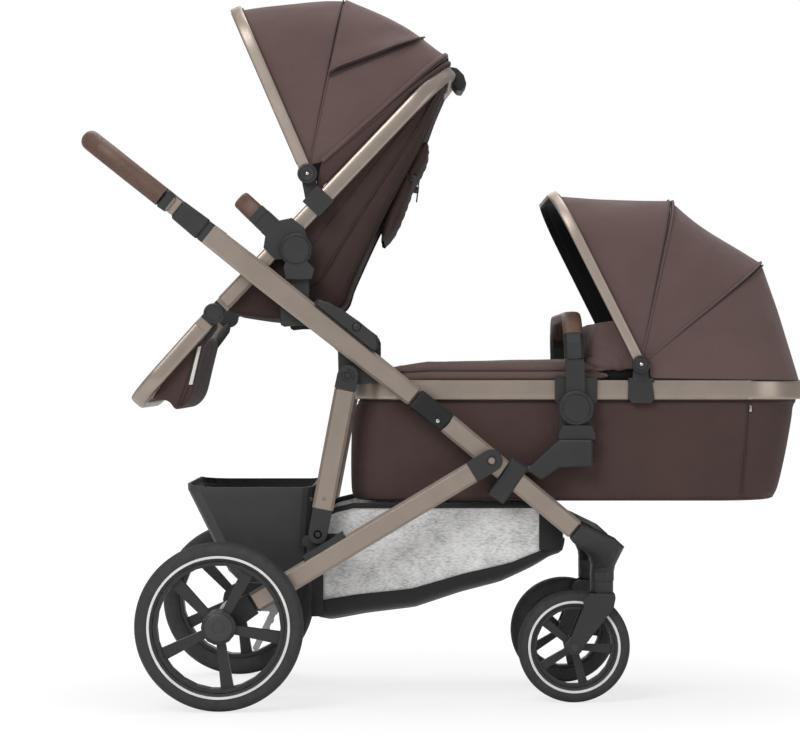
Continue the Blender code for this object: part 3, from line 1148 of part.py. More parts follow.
for label, hand in SIDES:
    upper_tube('upper_tube_' + label, hand)
    fold_housing('fold_housing_' + label, hand)
    lower_tube('lower_tube_' + label, hand)
    seat_mount('seat_mount_' + label, hand)
    seat_button('seat_button_' + label, hand)
    rear_leg('rear_leg_' + label, hand)
    strut('strut_' + label, hand)
    front_casting('front_casting_' + label, hand)
    adapter('adapter_' + label, hand)
    caster_fork('caster_fork_' + label, hand)
    rear_centre = (REAR_AXLE[0], hand * TRACK_Y, REAR_AXLE[1])
    tyre('rear_tyre_' + label, REAR_WHEEL, rear_centre, hand, 26)
    wheel_rim('rear_rim_' + label, REAR_WHEEL, rear_centre, hand, 26, -10.0, (0.0058, 0.0175), True)
    front_centre = (FRONT_AXLE[0], hand * CASTER_Y, FRONT_AXLE[1])
    tyre('front_tyre_' + label, FRONT_WHEEL, front_centre, hand, 22)
    wheel_rim('front_rim_' + label, FRONT_WHEEL, front_centre, hand, 22, -4.0, (0.0043, 0.0), False)
    seat_hub('seat_hub_' + label, hand)
    canopy_clip('canopy_clip_' + label, hand)
    cot_hub('cot_hub_' + label, hand)
handle_pieces()
rear_axle()
rear_tub()
brake_pedal()
front_cross_tube()
basket()
seat_tube()
seat_fabric()
recline_lever()
footrest_pieces()
bumper_pieces()
seat_canopy()
cot_rail()
cot_body()
cot_apron()
carry_pieces()
cot_canopy()
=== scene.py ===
"""The twin pram, dressed: cloth, leather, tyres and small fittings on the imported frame, lit in a studio."""

from math import atan2, copysign, cos, degrees, dist, pi, radians, sin, sqrt

import bmesh
import bpy
from mathutils import Matrix, Vector, noise


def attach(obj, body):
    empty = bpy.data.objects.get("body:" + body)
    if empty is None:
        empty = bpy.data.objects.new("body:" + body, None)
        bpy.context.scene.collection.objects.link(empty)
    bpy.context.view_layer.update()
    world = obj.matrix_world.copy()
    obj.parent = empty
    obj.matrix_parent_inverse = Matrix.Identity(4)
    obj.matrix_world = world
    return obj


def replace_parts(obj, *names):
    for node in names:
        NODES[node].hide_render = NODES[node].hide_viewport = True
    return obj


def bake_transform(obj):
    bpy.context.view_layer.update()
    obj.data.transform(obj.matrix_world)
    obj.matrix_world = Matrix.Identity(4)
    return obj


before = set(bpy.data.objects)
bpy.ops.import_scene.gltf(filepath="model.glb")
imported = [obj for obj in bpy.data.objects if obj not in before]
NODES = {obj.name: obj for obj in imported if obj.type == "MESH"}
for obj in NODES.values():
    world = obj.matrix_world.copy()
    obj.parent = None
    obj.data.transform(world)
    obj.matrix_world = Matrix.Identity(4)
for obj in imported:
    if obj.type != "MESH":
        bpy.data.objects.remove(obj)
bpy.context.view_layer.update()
SIDES = ((-1.0, "right"), (1.0, "left"))

# Places of the side view (x, z) and angles that the pieces share with the solids, in metres and degrees
UPPER_TOP = (-0.42, 0.8295)
UPPER_ANGLE = -38.44
SEAT_HINGE = (-0.4012, 0.6832)
SEAT_ANGLE = 46.4
SEAT_HUB = (-0.2579, 0.7934)
FOOTREST_ANGLE = 228.3
BUMPER_ANGLE = 137.3
SEAT_PIVOT = (-0.2384, 0.9266)
COT_PIVOT = (0.3421, 0.5948)
COT_HUB = (0.229, 0.5186)
CARRY_ANGLE = 92.0
FOLD = (-0.0218, 0.5139)
LOWER_ANGLE = -39.8
LEG_PIVOT = (0.0809, 0.4285)
LEG_ANGLE = 210.9
STRUT_TOP = (-0.1673, 0.5752)
STRUT_FOOT = (-0.2194, 0.3)
REAR_AXLE = (-0.387, 0.145)
FRONT_AXLE = (0.229, 0.0985)
REAR_TRACK, FRONT_TRACK = 0.293, 0.16
HOOP_HALF = 0.206
HUB_FACE = 0.235


# Settings of Blender's things

def assign(thing, **values):
    for name, value in values.items():
        setattr(thing, name, value)
    return thing


def placed(name, data, **values):
    """A new object in the scene, with its settings."""
    piece = assign(bpy.data.objects.new(name, data), **values)
    bpy.context.scene.collection.objects.link(piece)
    return piece


# Materials

def feed(socket, value):
    """Set a socket, or link it to the output of another node."""
    if isinstance(value, bpy.types.NodeSocket):
        socket.id_data.links.new(value, socket)
    else:
        socket.default_value = value


def tune(node, **values):
    """Feed a node's inputs by their names, where _ stands for a space."""
    for name, value in values.items():
        feed(node.inputs[name.replace("_", " ")], value)
    return node


def add(source, kind, **values):
    """A new node in the tree that a node or socket belongs to, or in the tree itself."""
    return tune(source.id_data.nodes.new("ShaderNode" + kind), **values)


def new_material(name, into=None):
    """A material (or one to add to) with a Principled node and its object coordinates."""
    material = into or bpy.data.materials.new(name)
    material.use_nodes = True
    tree = material.node_tree
    shader = add(tree, "BsdfPrincipled") if into else tree.nodes["Principled BSDF"]
    shader.label = name
    return material, shader, add(tree, "TexCoord").outputs["Object"]


def noise_node(coord, scale, detail=2.0, rough=0.5):
    return add(coord, "TexNoise", Vector=coord, Scale=scale, Detail=detail, Roughness=rough).outputs["Fac"]


def ramp(factor, *stops):
    """A colour ramp over a factor, from (place, colour) stops."""
    node = add(factor, "ValToRGB", Fac=factor)
    while len(node.color_ramp.elements) < len(stops):
        node.color_ramp.elements.new(0.5)
    for element, (place, colour) in zip(node.color_ramp.elements, stops):
        assign(element, position=place, color=(*colour, 1.0))
    return node.outputs["Color"]


def scaled(colour, factor):
    return tuple(min(1.0, c * factor) for c in colour)


def bump(height, strength, distance, **before):
    node = add(height, "Bump", Height=height, Strength=strength, Distance=distance, **before)
    return node.outputs["Normal"]


def math_node(operation, *values):
    node = assign(add(values[0], "Math"), operation=operation)
    for socket, value in zip(node.inputs, values):
        feed(socket, value)
    return node.outputs[0]


def mixture(a, share_a, b, share_b):
    return math_node("ADD", math_node("MULTIPLY", a, share_a), math_node("MULTIPLY", b, share_b))


def varied(factor, low, high):
    """A value between two others, by a factor."""
    return add(factor, "MapRange", Value=factor, To_Min=low, To_Max=high).outputs[0]


def mix_shaders(factor, first, second):
    mix = add(factor, "MixShader")
    for socket, source in zip(mix.inputs, (factor, first.outputs[0], second.outputs[0])):
        feed(socket, source)
    return mix.outputs[0]


def weave(coord, pitch):
    """The height of a plain weave: three crossed sets of fine threads."""
    total = None
    for axis in "XYZ":
        wave = add(coord, "TexWave", Vector=coord, Scale=0.314 / pitch, Distortion=0.6, Detail=1.0)
        height = assign(wave, bands_direction=axis).outputs["Fac"]
        total = height if total is None else math_node("MULTIPLY", total, height)
    return total


def soft_edges(coord, radius):
    """A normal that rounds the sharp edges of moulded solids a little."""
    return assign(add(coord, "Bevel", Radius=radius), samples=4).outputs["Normal"]


def fabric(name, colour, spread=0.12, pitch=0.0009, sheen=0.25, creases=0.35):
    """Woven cloth: a fine weave, faint slubs, and soft creases in the bump."""
    material, shader, coord = new_material(name)
    mixed = mixture(noise_node(coord, 900.0), 0.45, noise_node(coord, 9.0, 3.0), 0.55)
    crease = bump(noise_node(coord, 13.0, 2.0, 0.45), creases, 0.01)
    tune(shader, Roughness=0.88, Sheen_Weight=sheen, Sheen_Roughness=0.45, Specular_IOR_Level=0.25,
         Base_Color=ramp(mixed, (0.3, scaled(colour, 1 - spread)), (0.7, scaled(colour, 1 + spread))),
         Normal=bump(weave(coord, pitch), 0.35, 0.0004, Normal=crease))
    return material


def plastic(name, colour, rough=0.46, grain=0.25, into=None):
    """Moulded plastic: spark-eroded grain, patchy gloss and softened edges."""
    material, shader, coord = new_material(name, into)
    patch = noise_node(coord, 22.0, 3.0)
    tune(shader, Roughness=varied(patch, rough - 0.05, rough + 0.06),
         Base_Color=ramp(patch, (0.3, scaled(colour, 0.9)), (0.75, scaled(colour, 1.14))),
         Normal=bump(noise_node(coord, 1400.0), grain, 0.00025, Normal=soft_edges(coord, 0.0011)))
    return material


def metal(name, colour, rough=0.36, metallic=0.8):
    """Anodised tube: faint drawn streaks, a little mottling, softened edges."""
    material, shader, coord = new_material(name)
    mottle, fine = noise_node(coord, 30.0, 4.0), noise_node(coord, 700.0, 1.0)
    mixed = mixture(mottle, 0.6, fine, 0.4)
    tune(shader, Metallic=metallic, Roughness=varied(mottle, rough - 0.04, rough + 0.05),
         Base_Color=ramp(mixed, (0.3, scaled(colour, 0.95)), (0.7, scaled(colour, 1.06))),
         Normal=bump(fine, 0.1, 0.0002, Normal=soft_edges(coord, 0.0009)))
    return material


def leather(name, colour):
    """Grained leather: pebbles between fine creases, with painted shade in the creases and painted light on the
    pebbles.
    """
    material, shader, coord = new_material(name)
    cell = assign(add(coord, "TexVoronoi"), feature="DISTANCE_TO_EDGE")
    pebbles = tune(cell, Vector=coord, Scale=520.0).outputs["Distance"]
    # painted shade and light: the colour darkens into the creases and lightens on the pebbles' tops
    tone = ramp(pebbles, (0.02, scaled(colour, 0.6)), (0.16, colour), (0.5, scaled(colour, 1.18)))
    wear = ramp(noise_node(coord, 45.0, 3.0), (0.35, (0.86, 0.86, 0.86)), (0.75, (1.14, 1.12, 1.1)))
    mix = tune(assign(add(coord, "Mix"), data_type="RGBA", blend_type="MULTIPLY"), Factor=1.0, A=tone, B=wear)
    tune(shader, Base_Color=mix.outputs["Result"], Roughness=0.5, Normal=bump(pebbles, 0.5, 0.0005))
    return material


def rubber(name, colour):
    """Tyre rubber: dusty, matt, with a fine pitted surface."""
    material, shader, coord = new_material(name)
    dust = noise_node(coord, 60.0, 4.0)
    tune(shader, Base_Color=ramp(dust, (0.35, colour), (0.75, scaled(colour, 1.45))), Roughness=0.74,
         Normal=bump(noise_node(coord, 900.0, 3.0), 0.4, 0.0004))
    return material


def heather_mesh(name):
    """Knitted mesh: light grey marl with darker broken streaks and small holes in the bump."""
    material, shader, coord = new_material(name)
    streak = add(coord, "Mapping", Vector=coord, Rotation=(0.0, radians(35.0), 0.0), Scale=(150.0, 150.0, 480.0))
    lines = noise_node(streak.outputs["Vector"], 1.0, 3.0, 0.6)
    tone = ramp(mixture(lines, 0.62, noise_node(coord, 38.0, 3.0, 0.6), 0.38),
                (0.34, (0.33, 0.33, 0.333)), (0.44, (0.54, 0.54, 0.54)), (0.53, (0.68, 0.68, 0.677)),
                (0.66, (0.8, 0.8, 0.795)))
    holes = add(coord, "TexVoronoi", Vector=coord, Scale=420.0).outputs["Distance"]
    tune(shader, Base_Color=tone, Roughness=0.9, Sheen_Weight=0.2, Normal=bump(holes, 0.5, 0.0006))
    return material


def split(name, *slabs):
    """Tube metal with moulded black where a point lies in a slab of the side view.

    A slab is (origin, angle, from, to, half_depth): how far along its direction, and how deep across it.
    """
    material = metal(name, TUBE_COLOUR)
    plastic(name + "_moulding", BLACK_COLOUR, into=material)
    tree = material.node_tree
    shaders = [node for node in tree.nodes if node.type == "BSDF_PRINCIPLED"]
    axes = add(tree, "SeparateXYZ", Vector=add(tree, "TexCoord").outputs["Object"])
    inside = None
    for origin, angle, first, last, half in slabs:
        c, s = cos(radians(angle)), sin(radians(angle))
        dx, dz = (math_node("SUBTRACT", axes.outputs[axis], start) for axis, start in zip("XZ", origin))
        run, rise = mixture(dx, c, dz, s), mixture(dz, c, dx, -s)
        hit = math_node("MULTIPLY", math_node("GREATER_THAN", run, first),
                        math_node("LESS_THAN", run, last))
        near = math_node("LESS_THAN", math_node("ABSOLUTE", rise), half)
        hit = math_node("MULTIPLY", hit, near)
        inside = hit if inside is None else math_node("MAXIMUM", inside, hit)
    tune(tree.nodes["Material Output"], Surface=mix_shaders(inside, *shaders))
    return material


TUBE_COLOUR = (0.372, 0.312, 0.268)
BLACK_COLOUR = (0.0185, 0.02, 0.0192)
BROWN = fabric("brown_cloth", (0.112, 0.073, 0.068), sheen=0.16, creases=1.0)
# painted shade: the same brown cloth made darker, for the parts that lie in shade (the cot's side, the calf pad,
# the tuck, the rear roll's underside)
BROWN_SHADED = fabric("brown_cloth_painted_shade", (0.064, 0.039, 0.035), sheen=0.1, creases=1.0)
# painted shade: the brown cloth darker still, for the sling under the hoop and the rolled vent flap
SLING_SHADED = fabric("sling_cloth_painted_shade", (0.048, 0.03, 0.027), sheen=0.06, creases=1.0)
SEAM = fabric("seam_thread", (0.04, 0.026, 0.024), 0.08, 0.0006, creases=0.0)
LINING = fabric("dark_lining", (0.014, 0.013, 0.013), 0.1, sheen=0.05)
BLACK_WEB = fabric("black_webbing", (0.02, 0.021, 0.021), 0.15, 0.0012, creases=0.1)
WHITE_WEB = fabric("white_tape", (0.62, 0.61, 0.59), 0.05, 0.001, creases=0.1)
METAL = metal("champagne_tube", TUBE_COLOUR)
METAL_BOW = metal("champagne_bow", (0.385, 0.322, 0.278), 0.44, 0.65)
BLACK = plastic("black_moulding", BLACK_COLOUR)
BLACK_GLOSS = plastic("black_gloss", (0.012, 0.013, 0.013), 0.22, 0.05)
GREY_DARK = plastic("dark_grey_cap", (0.034, 0.036, 0.035), 0.42)
TUB = plastic("tub_moulding", (0.03, 0.032, 0.031), 0.58, 0.4)
PEDAL = plastic("pedal_grey", (0.5, 0.51, 0.51), 0.5)
SILVER = metal("rivet_steel", (0.62, 0.62, 0.61), 0.22, 1.0)
LEATHER = leather("brown_leather", (0.128, 0.068, 0.047))
THREAD = fabric("leather_thread", (0.3, 0.2, 0.15), 0.05, 0.0005, creases=0.0)
TYRE = rubber("tyre_rubber", (0.025, 0.026, 0.026))
WHITE_BAND = plastic("white_band", (0.72, 0.72, 0.71), 0.5, 0.05)
MESH_CLOTH = heather_mesh("heather_mesh")


# Shape helpers

def along(start, angle, distance, offset=0.0):
    """The point of the side view at a distance along a direction, offset to its left."""
    a = radians(angle)
    return (start[0] + distance * cos(a) - offset * sin(a),
            start[1] + distance * sin(a) + offset * cos(a))


def plane_at(origin, angle):
    """A local plane: +X along a direction of the side view, +Y across the pram."""
    a = radians(angle)
    x_axis = Vector((cos(a), 0.0, sin(a)))
    y_axis = Vector((0.0, 1.0, 0.0))
    turn = Matrix((x_axis, y_axis, x_axis.cross(y_axis))).transposed().to_4x4()
    return Matrix.Translation((origin[0], 0.0, origin[1])) @ turn


def hoop(half, reach, corner, foot, steps=12, leg=6, top=8):
    """A U-shaped path as (reach, across) points, with even runs on its straights."""
    centre = reach - corner
    side = [(foot + (centre - foot) * i / leg, -half) for i in range(leg)]
    bend = []
    for i in range(steps + 1):
        a = radians(90.0 * i / steps)
        bend.append((centre + corner * sin(a), -half + corner * (1 - cos(a))))
    path = side + bend
    middle = [(reach, (half - corner) * (2.0 * i / top - 1.0)) for i in range(1, top)]
    return path + middle + [(u, -y) for u, y in reversed(path)]


def spline(stations, count):
    """A smooth run of values through (place, value, ...) stations, as rows of numbers."""
    rows = []
    for i in range(count + 1):
        t = i / count * (len(stations) - 1)
        k = min(int(t), len(stations) - 2)
        f = t - k
        p0, p1, p2, p3 = (stations[max(0, min(len(stations) - 1, k + d))] for d in (-1, 0, 1, 2))
        rows.append(tuple(0.5 * (2 * b + (c - a) * f + (2 * a - 5 * b + 4 * c - d) * f * f
                                 + (3 * b - a - 3 * c + d) * f ** 3) for a, b, c, d in zip(p0, p1, p2, p3)))
    return rows


def line_height(x, stations):
    """The height at x of straight runs between (x, height) stations."""
    for (x0, z0), (x1, z1) in zip(stations, stations[1:]):
        if x <= x1:
            t = (x - x0) / (x1 - x0)
            return z0 + (z1 - z0) * t
    return stations[-1][1]


def resample(path, count):
    """Even points along a path."""
    runs = [0.0]
    for a, b in zip(path, path[1:]):
        runs.append(runs[-1] + dist(a, b))
    points, k = [], 0
    for i in range(count + 1):
        want = runs[-1] * (i / count)
        while k < len(path) - 2 and runs[k + 1] < want:
            k += 1
        t = (want - runs[k]) / max(1e-9, runs[k + 1] - runs[k])
        points.append(tuple(a + (b - a) * t for a, b in zip(path[k], path[k + 1])))
    return points


def turns(count, shift=0.0):
    """Even angles round a circle."""
    return [2 * pi * (k + shift) / count for k in range(count)]


def signed(value, power):
    """The power of a value's size, with its sign."""
    return copysign(abs(value) ** power, value)


def directions(path, cyclic=False):
    """The direction of a path at each of its points."""
    found, count = [], len(path)
    for i, point in enumerate(path):
        before = path[i - 1] if cyclic or i else point
        after = path[(i + 1) % count] if cyclic or i < count - 1 else point
        found.append(Vector([b - a for a, b in zip(before, after)]).normalized())
    return found


def inward(path, offset):
    """A U-shaped path moved towards its inside, without its ends."""
    moved = [(x - run.y * offset, y + run.x * offset) for (x, y), run in zip(path, directions(path))]
    return moved[1:-1]


def plan_ring(x_low, x_high, half, low, high, steps=10):
    """A rounded rectangle in plan, with its own corner radius at its low and its high end."""
    ring = []
    corners = ((x_high - high, half - high, high, 0.0, 26), (x_low + low, half - low, low, 90.0, 14),
               (x_low + low, -half + low, low, 180.0, 26), (x_high - high, -half + high, high, 270.0, 14))
    for place, (cx, cy, radius, first, cuts) in enumerate(corners):
        for i in range(steps + 1):
            a = radians(first + 90.0 * i / steps)
            ring.append((cx + radius * cos(a), cy + radius * sin(a)))
        nx, ny, next_radius, turn, _ = corners[(place + 1) % 4]
        a = radians(turn)
        last, goal = ring[-1], (nx + next_radius * cos(a), ny + next_radius * sin(a))
        ring += [(last[0] + (goal[0] - last[0]) * k / cuts, last[1] + (goal[1] - last[1]) * k / cuts)
                 for k in range(1, cuts)]
    return ring


def mesh_piece(name, work, material, smooth=40.0):
    """An object from a bmesh, shaded smooth with crisp corners."""
    bmesh.ops.recalc_face_normals(work, faces=work.faces)
    mesh = bpy.data.meshes.new(name)
    work.to_mesh(mesh)
    work.free()
    mesh.materials.append(material)
    mesh.shade_smooth()
    mesh.set_sharp_from_angle(angle=radians(smooth))
    return placed(name, mesh)


def join_rings(work, rings, closed=True):
    """Faces between neighbouring rings of vertices, where a ring of one vertex is a pole."""
    for first, second in zip(rings, rings[1:]):
        count = max(len(first), len(second))
        first, second = (ring * count if len(ring) == 1 else ring for ring in (first, second))
        for k in range(count if closed else count - 1):
            j = (k + 1) % count
            corners = tuple(dict.fromkeys((first[k], first[j], second[j], second[k])))
            if len(corners) > 2:
                work.faces.new(corners)


def net(name, rows, material, smooth, closed=True, cyclic=False, caps=()):
    """A mesh through rows of points, each one a ring or open, with faces over the rings named in caps."""
    work = bmesh.new()
    grid = [[work.verts.new(point) for point in row] for row in rows]
    join_rings(work, grid + grid[:1] if cyclic else grid, closed)
    for place in caps:
        work.faces.new(grid[place])
    return mesh_piece(name, work, material, smooth)


def settle(piece):
    """Apply a piece's modifiers, so that its mesh is final."""
    bpy.context.view_layer.update()
    graph = bpy.context.evaluated_depsgraph_get()
    mesh = bpy.data.meshes.new_from_object(piece.evaluated_get(graph))
    piece.modifiers.clear()
    piece.data = mesh
    return piece


def skin(name, rows, thickness, material, loop=False, levels=0, capped=False, offset=-1.0, smooth=60.0,
         heart=None):
    """A cloth shell through rows of points, thickened and smoothed, with a dark lining towards its heart."""
    piece = net(name, rows, material, smooth, closed=loop, caps=(-1,) if capped else ())
    if heart:
        face = piece.data.polygons[len(piece.data.polygons) // 2]
        if face.normal.dot(face.center - Vector(heart)) < 0:
            piece.data.flip_normals()
        piece.data.materials.append(LINING)
    if thickness:
        inner = 1 if heart else 0
        assign(piece.modifiers.new("thick", "SOLIDIFY"), material_offset=inner, material_offset_rim=inner,
               thickness=thickness, offset=offset, use_even_offset=True)
    if levels:
        assign(piece.modifiers.new("smooth", "SUBSURF"), levels=levels, render_levels=levels)
    return settle(piece)


def tube(name, points, radius, material, sides=8, cyclic=False, flat=1.0):
    """A round or flattened strand along points."""
    points = [Vector(p) for p in points]
    rings = []
    side = Vector((0.0, 1.0, 0.0))
    for point, run in zip(points, directions(points, cyclic)):
        side = side - run * side.dot(run)
        if side.length < 1e-4:
            side = run.orthogonal()
        side.normalize()
        up = run.cross(side)
        rings.append([point + side * radius * cos(a) + up * radius * flat * sin(a) for a in turns(sides)])
    return net(name, rings, material, 50.0, cyclic=cyclic, caps=() if cyclic else (0, -1))


def sweep(name, path, place, width, height, material, power=4.0, sides=20, cyclic=False):
    """A bent bar along a path in a local plane: its width lies in the plane, its height out of it."""
    section = [(signed(cos(a), 2 / power), signed(sin(a), 2 / power)) for a in turns(sides, 0.5)]
    rings = []
    for (x, y), run in zip(path, directions(path, cyclic)):
        out = Vector((run.y, -run.x))
        rings.append([place @ Vector((x + out.x * c * width / 2, y + out.y * c * width / 2, s * height / 2))
                      for c, s in section])
    return net(name, rings, material, 50.0, cyclic=cyclic, caps=() if cyclic else (0, -1))


def lathe(name, profile, centre, side, material, steps=64):
    """A profile of (radius, outward) points turned about an axis across the pram."""
    x, y, z = centre
    rings = []
    for radius, out in profile:
        angles = turns(steps) if radius > 1e-6 else [0.0]
        rings.append([(x + radius * cos(a), y + side * out, z + radius * sin(a)) for a in angles])
    return net(name, rings, material, 35.0)


def slab(name, outline, y_first, y_last, material, round_off):
    """An outline of the side view extruded across the pram, with rounded edges."""
    work = bmesh.new()
    near = [work.verts.new((x, y_first, z)) for x, z in outline]
    far = [work.verts.new((x, y_last, z)) for x, z in outline]
    work.faces.new(near)
    work.faces.new(far)
    for i in range(len(outline)):
        j = (i + 1) % len(outline)
        work.faces.new((near[i], near[j], far[j], far[i]))
    piece = mesh_piece(name, work, material, 35.0)
    assign(piece.modifiers.new("rounded", "BEVEL"), width=round_off, segments=3, limit_method="ANGLE",
           angle_limit=radians(30))
    settle(piece)
    piece.data.shade_smooth()
    piece.data.set_sharp_from_angle(angle=radians(35.0))
    return piece


def stitches(name, points, pitch=0.0062, length=0.0042, radius=0.0007):
    """A row of stitches: short raised threads along a line of points."""
    work = bmesh.new()
    carry = 0.0
    for a, b in zip(points, points[1:]):
        span = (b - a).length
        run = (b - a).normalized()
        side = run.orthogonal().normalized()
        up = run.cross(side)
        while carry < span:
            start = a + run * carry
            ends = []
            for reach, size in ((0.0, 0.35), (0.25, 1.0), (0.75, 1.0), (1.0, 0.35)):
                spot = start + run * length * reach
                ends.append([work.verts.new(spot + (side * cos(a) + up * sin(a)) * radius * size)
                             for a in turns(5)])
            join_rings(work, ends)
            work.faces.new(ends[0])
            work.faces.new(ends[-1])
            carry += pitch
        carry -= span
    return mesh_piece(name, work, THREAD, 80.0)


def ride(piece, body, node=None):
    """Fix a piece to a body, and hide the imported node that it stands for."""
    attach(piece, body)
    if node:
        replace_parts(piece, node)
    return piece


def strand(name, points, radius, material, body, sides=8, slot=None, **shape):
    return ride(tube(name, points, radius, material, sides, **shape), body)


def turned(name, profile, spot, side, material, steps, body):
    """A turned piece about an axis across the pram, through a point (x, z) of the side view."""
    return ride(lathe(name, profile, (spot[0], 0.0, spot[1]), side, material, steps), body)


def paint(material, *names):
    """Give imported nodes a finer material."""
    for name in names:
        NODES[name].data.materials.clear()
        NODES[name].data.materials.append(material)


# Studio: a white room, soft key and fill, and the photograph's camera

# (name, place, aim, size, power)
LAMPS = (("key", (-1.6, -3.0, 3.0), (0.0, 0.0, 0.6), 2.0, 84.0),
         ("fill", (2.8, -2.6, 1.2), (0.1, 0.0, 0.6), 2.2, 19.0),
         ("top", (0.2, 0.4, 3.4), (0.0, 0.0, 0.6), 2.0, 44.0),
         ("rim", (-0.6, 3.0, 2.2), (0.0, 0.0, 0.7), 2.0, 26.0))
WORLD_COLOUR, WORLD_STRENGTH = (1.0, 0.985, 0.97, 1.0), 0.4


def studio():
    scene = bpy.context.scene
    scene.view_settings.view_transform = "Standard"
    world = bpy.data.worlds.new("studio")
    scene.world = world
    world.use_nodes = True
    tree = world.node_tree
    background = tune(tree.nodes["Background"], Color=WORLD_COLOUR, Strength=WORLD_STRENGTH)
    white = add(tree, "Background", Color=(1.0, 1.0, 1.0, 1.0))
    rays = add(tree, "LightPath").outputs
    seen = math_node("MAXIMUM", rays["Is Camera Ray"], rays["Is Transmission Ray"])
    tune(tree.nodes["World Output"], Surface=mix_shaders(seen, background, white))
    for name, place, aim, size, power in LAMPS:
        turn = (Vector(aim) - Vector(place)).to_track_quat("-Z", "Y").to_euler()
        lamp = assign(bpy.data.lights.new(name, "AREA"), size=size, energy=power)
        placed(name, lamp, location=place, rotation_euler=turn)
    lens = assign(bpy.data.cameras.new("photograph"), sensor_fit="HORIZONTAL", sensor_width=36.0, lens=123.7,
                  clip_end=60.0)
    scene.camera = placed("photograph", lens, location=(-0.077, -5.0, 0.5821),
                          rotation_euler=(radians(90.0), 0.0, 0.0))

    # the floor shows the pram's shadow near by and turns white further off
    material = bpy.data.materials.new("white_floor")
    material.use_nodes = True
    tree = material.node_tree
    shader = tune(tree.nodes["Principled BSDF"], Base_Color=(0.9, 0.9, 0.9, 1.0), Roughness=0.9,
                  Specular_IOR_Level=0.0)
    far = assign(add(tree, "VectorMath", Vector=add(tree, "TexCoord").outputs["Object"]), operation="LENGTH")
    fade = add(tree, "MapRange", Value=far.outputs["Value"], From_Min=0.55, From_Max=1.15, To_Min=0.7,
               To_Max=1.0)
    assign(fade, interpolation_type="SMOOTHSTEP")
    seen = math_node("MULTIPLY", add(tree, "LightPath").outputs["Is Camera Ray"], fade.outputs[0])
    glow = add(tree, "Emission", Strength=1.06)
    tune(tree.nodes["Material Output"], Surface=mix_shaders(seen, shader, glow))
    net("studio_floor", [[(-8.0, -6.0, 0.0), (8.0, -6.0, 0.0), (8.0, 14.0, 0.0), (-8.0, 14.0, 0.0)]],
                 material, 40.0, caps=(0,))


# Wheels

TYRE_SECTION = ((0.0, 0.76), (0.1, 0.86), (0.25, 0.95), (0.45, 1.0), (0.62, 0.99), (0.76, 0.93), (0.86, 0.82),
                (0.93, 0.66), (0.975, 0.45), (1.0, 0.22))
TREAD_DEPTH = 0.0013


def tyre(end, label, centre, side, radius, bead, half, band, blocks):
    """A tyre with a rounded section, blocks on its shoulders and a pale ring on its wall."""
    depth = radius - bead
    wall = [(bead + depth * rise, half * out) for rise, out in TYRE_SECTION]
    steps = blocks * 4
    x, y, z = centre
    rings = []
    for r, out in wall + [(r, -out) for r, out in reversed(wall)]:
        ring = []
        shoulder = 0.35 * half < abs(out) < 0.9 * half and r > bead + 0.8 * depth
        for k, a in enumerate(turns(steps, 0.8 if out > 0 else 0.0)):
            grip = r - (TREAD_DEPTH if shoulder and k % 4 == 0 else 0.0)
            ring.append((x + grip * cos(a), y + side * out, z + grip * sin(a)))
        rings.append(ring)
    name, body = "%s_tyre_form_%s" % (end, label), "%s_wheel_%s" % (end, label)
    ride(net(name, rings, TYRE, 32.0, cyclic=True), body, node="%s_tyre_%s" % (end, label))
    ring = [(band - 0.0023, half * 0.9), (band - 0.0021, half + 0.0003), (band + 0.0021, half + 0.0006),
            (band + 0.0023, half * 0.93)]
    ride(lathe(name + "_band", ring, centre, side, WHITE_BAND, 96), body)


def wheels():
    cap = [(0.0, 0.0226), (0.0085, 0.0226), (0.009, 0.022), (0.0105, 0.022), (0.011, 0.0226),
           (0.0215, 0.0224), (0.024, 0.0212), (0.0246, 0.02)]
    bolt = [(0.0, 0.033), (0.003, 0.033), (0.0034, 0.0322), (0.0062, 0.0322), (0.0072, 0.0312), (0.0074, 0.029)]
    for side, label in SIDES:
        rear = (REAR_AXLE[0], side * REAR_TRACK, REAR_AXLE[1])
        front = (FRONT_AXLE[0], side * FRONT_TRACK, FRONT_AXLE[1])
        tyre("rear", label, rear, side, 0.145, 0.1133, 0.0225, 0.1204, 34)
        tyre("front", label, front, side, 0.0985, 0.0718, 0.018, 0.079, 26)
        ride(lathe("rear_cap_" + label, cap, rear, side, GREY_DARK, 48), "rear_wheel_" + label)
        ride(lathe("fork_bolt_" + label, bolt, front, side, GREY_DARK, 28), "caster_" + label)


# Canopies

RIB_CUTS = 300


def cloth_rows(shape, first, second, rows, columns, dip, lift=0.0, cut=None, seed=0.0, wave=0.0):
    """Points of a canopy panel stretched between two ribs of (angle, reach, foot), drawn in between them."""
    pivot, half, corner = shape
    ends = []
    for angle, reach, foot in (first, second):
        a = radians(angle)
        path = resample(hoop(half + lift, reach + lift, corner, foot, 14, 8, 12), RIB_CUTS)
        ends.append([(pivot[0] + u * cos(a), y, pivot[1] + u * sin(a), u) for u, y in path])
    surface = []
    for i in range(rows + 1):
        t = i / rows
        skip = cut(t) if cut else 0.0
        row = []
        for k in range(columns + 1):
            place = RIB_CUTS * (skip + (1 - 2 * skip) * k / columns)
            n = min(RIB_CUTS - 1, int(place))
            f = place - n
            a, b = ([end[n][c] + (end[n + 1][c] - end[n][c]) * f for c in range(4)] for end in ends)
            x, y, z, u = (a[c] + (b[c] - a[c]) * t for c in range(4))
            away = Vector((x - pivot[0], z - pivot[1])).normalized()
            tight = min(1.0, u / 0.16) * sin(pi * t)
            fold = wave * tight * noise.noise(Vector((6.0 * x + seed, 7.0 * y, 6.0 * z)))
            top = min(1.0, max(0.0, (half - abs(y)) / 0.05 + 0.25))
            move = (fold - dip * tight) * top
            side_move = (fold * 0.8 - dip * 0.5 * tight) * (1 - top) * (1.0 if y > 0 else -1.0)
            row.append((x + away.x * move, y + side_move, z + away.y * move))
        surface.append(row)
    return surface


def span(piece, pivot, bodies, angles=None):
    """Fix a piece of canopy to its one body; with the bodies of two ribs, only bake its place into its mesh."""
    if len(bodies) == 1:
        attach(piece, bodies[0])
    else:
        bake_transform(piece)
    return piece


